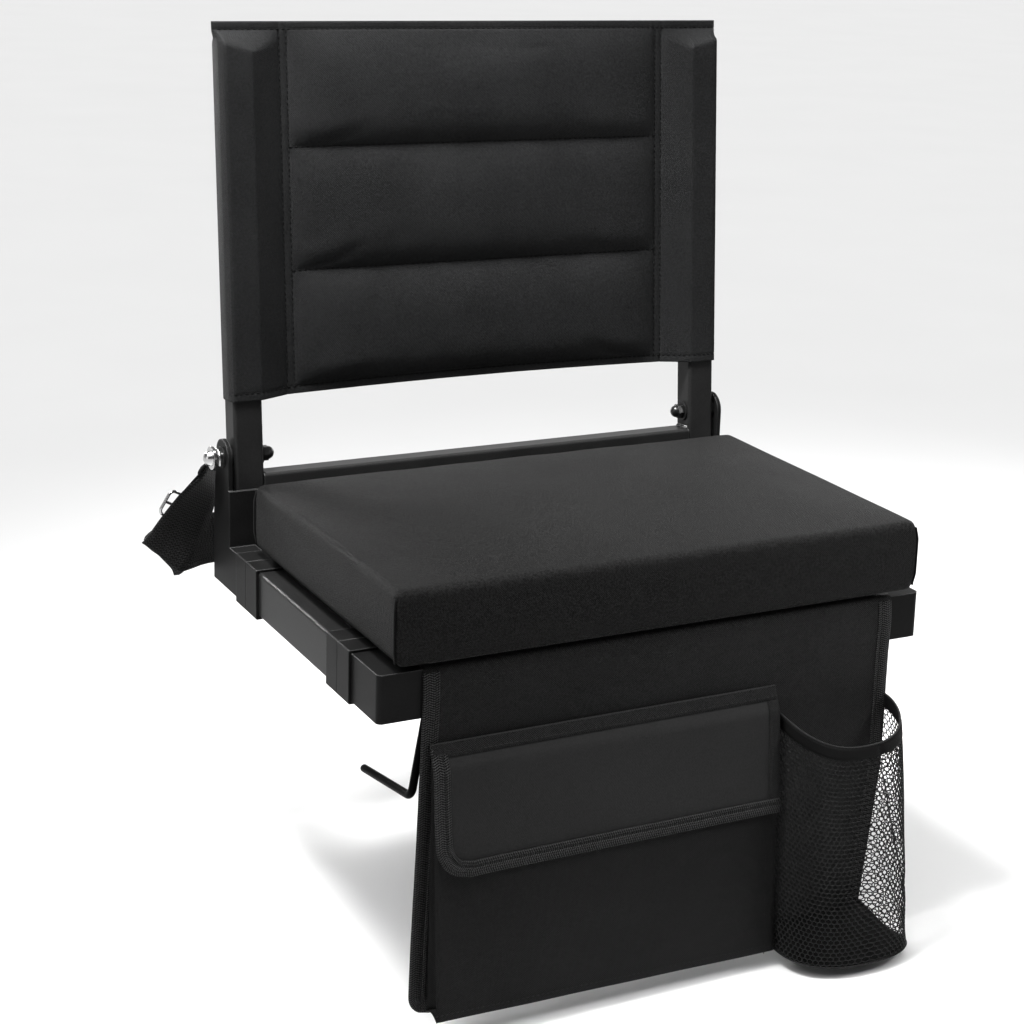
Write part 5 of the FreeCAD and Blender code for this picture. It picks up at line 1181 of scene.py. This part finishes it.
def make_strap():
    stations = strap_stations()
    last = len(stations) - 1
    middles, widths = [], []
    for number in range(last):
        picks = [stations[min(max(number + step, 0), last)] for step in (-1, 0, 1, 2)]
        steps = max(4, int(np.linalg.norm(picks[2][0] - picks[1][0]) / (5 * MM)))
        for t in np.arange(steps) / steps:
            for store, column in ((middles, 0), (widths, 1)):
                store.append(eased(t, *(pick[column] for pick in picks)))
    middles = np.array(middles + [stations[last][0]])
    widths = np.array(widths + [stations[last][1]])
    heading = unit(np.gradient(middles, axis=0))
    widths = unit(widths - heading * np.sum(widths * heading, axis=1, keepdims=True))
    spread = np.linspace(-STRAP_HALF, STRAP_HALF, 9)
    grid = middles[:, None, :] + widths[:, None, :] * spread[None, :, None]

    # The end that is turned back round the loop lies behind the first run.
    lengths = run_of(middles)
    turned = lengths < TURN_BACK
    behind = np.cross(heading, widths)[turned]
    gap = np.interp(lengths[turned], [0.0, 13 * MM, 36 * MM], [4.8 * MM, 4.8 * MM, 1.9 * MM])[:, None]
    second = grid[turned] - (behind * gap)[:, None, :] + widths[turned][:, None, :] * 4.0 * MM
    layers = [turned_uv(cloth_sheet(layer, 1.6 * MM)) for layer in (grid, second)]
    strap = dress(build("strap_webbing", layers), "webbing")
    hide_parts("shoulder_strap")
    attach(strap, "seat")


# Stage: pale floor, soft studio light and the photograph's camera.
FLOOR_GAP, FLOOR_HALF = 14 * MM, 14.0
# Lamps: name, place, aim, width, height, power and spread in degrees.
LAMPS = (
    ("key", (-2.1, 0.0, 0.75), (0.0, 0.1, 0.1), 1.0, 1.5, 5.0, 180),
    ("fill", (0.95, -0.75, 0.95), (0.17, -0.04, 0.0), 0.4, 0.3, 0.5, 30),
    ("back", (-0.7, 0.0, 1.9), (0.0, 0.36, 0.34), 0.5, 0.35, 8.6, 48),
    ("rim", (-0.75, 2.4, 0.85), (-0.25, 0.1, 0.05), 0.5, 0.2, 1.3, 40),
    ("side", (1.9, 1.2, 0.6), (0.1, 0.25, 0.15), 0.8, 0.8, 3.5, 90),
)
CAMERA_PLACE = (-0.9207, -1.5897, 0.7029)
CAMERA_TURN = (-30.43, 14.41, 2.57)
CAMERA_LENS, CAMERA_SHIFT = 78.77, (-0.1535, -0.0985)


def area_light(name, place, aim, wide, tall, power, spread):
    light = bpy.data.lights.new(name, "AREA")
    light.shape = "RECTANGLE"
    light.size, light.size_y = wide, tall
    light.energy = power
    light.spread = math.radians(spread)
    lamp = bpy.data.objects.new(name, light)
    lamp.location = place
    lamp.rotation_euler = (Vector(aim) - Vector(place)).to_track_quat("-Z", "Y").to_euler()
    lamp.visible_camera = False
    scene.collection.objects.link(lamp)


def make_stage():
    level = cad_box[0][2] - FLOOR_GAP
    corners = [(x * FLOOR_HALF, y * FLOOR_HALF, level) for x, y in ((-1, -1), (1, -1), (1, 1), (-1, 1))]
    floor = build("floor", [(corners, [(0, 1, 2, 3)], [(x, y) for x, y, _ in corners])])
    material, tree, shader = blank("pale floor")
    space = add(tree, "ShaderNodeTexCoord").outputs["Object"]
    cloud = noise(tree, space, 3.0, 3.0)
    feed(tree, shader.inputs["Base Color"], two_tone(tree, cloud, grey(0.68), grey(0.71)))
    shader.inputs["Roughness"].default_value = 0.9
    shader.inputs["Specular IOR Level"].default_value = 0.1
    floor.data.materials.append(material)

    # A pale band round the horizon and a dimmer sky above it.
    world = bpy.data.worlds.new("studio")
    scene.world = world
    world.use_nodes = True
    tree = world.node_tree
    aim = add(tree, "ShaderNodeTexCoord").outputs["Generated"]
    split = add(tree, "ShaderNodeSeparateXYZ", Vector=aim)
    fade = add(tree, "ShaderNodeMapRange", {"interpolation_type": "SMOOTHSTEP"}, Value=split.outputs["Z"],
               From_Min=0.10, From_Max=0.42)
    sky = two_tone(tree, fade.outputs["Result"], grey(0.86), grey(0.24))
    front = add(tree, "ShaderNodeMapRange", Value=split.outputs["Y"], From_Min=-0.5, From_Max=0.2,
                To_Min=0.32, To_Max=1.0)
    left = add(tree, "ShaderNodeMapRange", Value=split.outputs["X"], From_Min=-0.7, From_Max=-0.1,
               To_Min=0.5, To_Max=1.0)
    strength = calc(tree, "MULTIPLY", front.outputs["Result"], left.outputs["Result"])
    feed(tree, tree.nodes["Background"].inputs["Color"], sky)
    feed(tree, tree.nodes["Background"].inputs["Strength"], strength)
    for lamp in LAMPS:
        area_light(*lamp)
    sun = bpy.data.lights.new("overhead", "SUN")
    sun.energy = 3.4
    sun.angle = 1.3
    lamp = bpy.data.objects.new("overhead", sun)
    lamp.rotation_euler = Vector((0.25, 0.05, -1.0)).to_track_quat("-Z", "Y").to_euler()
    scene.collection.objects.link(lamp)


def set_camera():
    """Camera by its place and its yaw, pitch and roll in degrees."""
    place = Vector(CAMERA_PLACE)
    yaw, pitch, roll = (math.radians(angle) for angle in CAMERA_TURN)
    ahead = Vector((-math.sin(yaw) * math.cos(pitch), math.cos(yaw) * math.cos(pitch), -math.sin(pitch)))
    level = ahead.cross(Vector((0, 0, 1))).normalized()
    rise = level.cross(ahead)
    right = level * math.cos(roll) + rise * math.sin(roll)
    up = rise * math.cos(roll) - level * math.sin(roll)
    data = bpy.data.cameras.new("photo")
    data.sensor_width = 36.0
    data.lens = CAMERA_LENS
    data.shift_x, data.shift_y = CAMERA_SHIFT
    camera = bpy.data.objects.new("photo", data)
    camera.matrix_world = Matrix((
        (right.x, up.x, -ahead.x, place.x), (right.y, up.y, -ahead.y, place.y),
        (right.z, up.z, -ahead.z, place.z), (0, 0, 0, 1)))
    scene.collection.objects.link(camera)
    scene.camera = camera
    scene.view_settings.view_transform = "Standard"


make_cushion()
make_back()
make_apron()
make_pocket()
make_flap()
make_pouch()
make_strap()
make_stage()
set_camera()
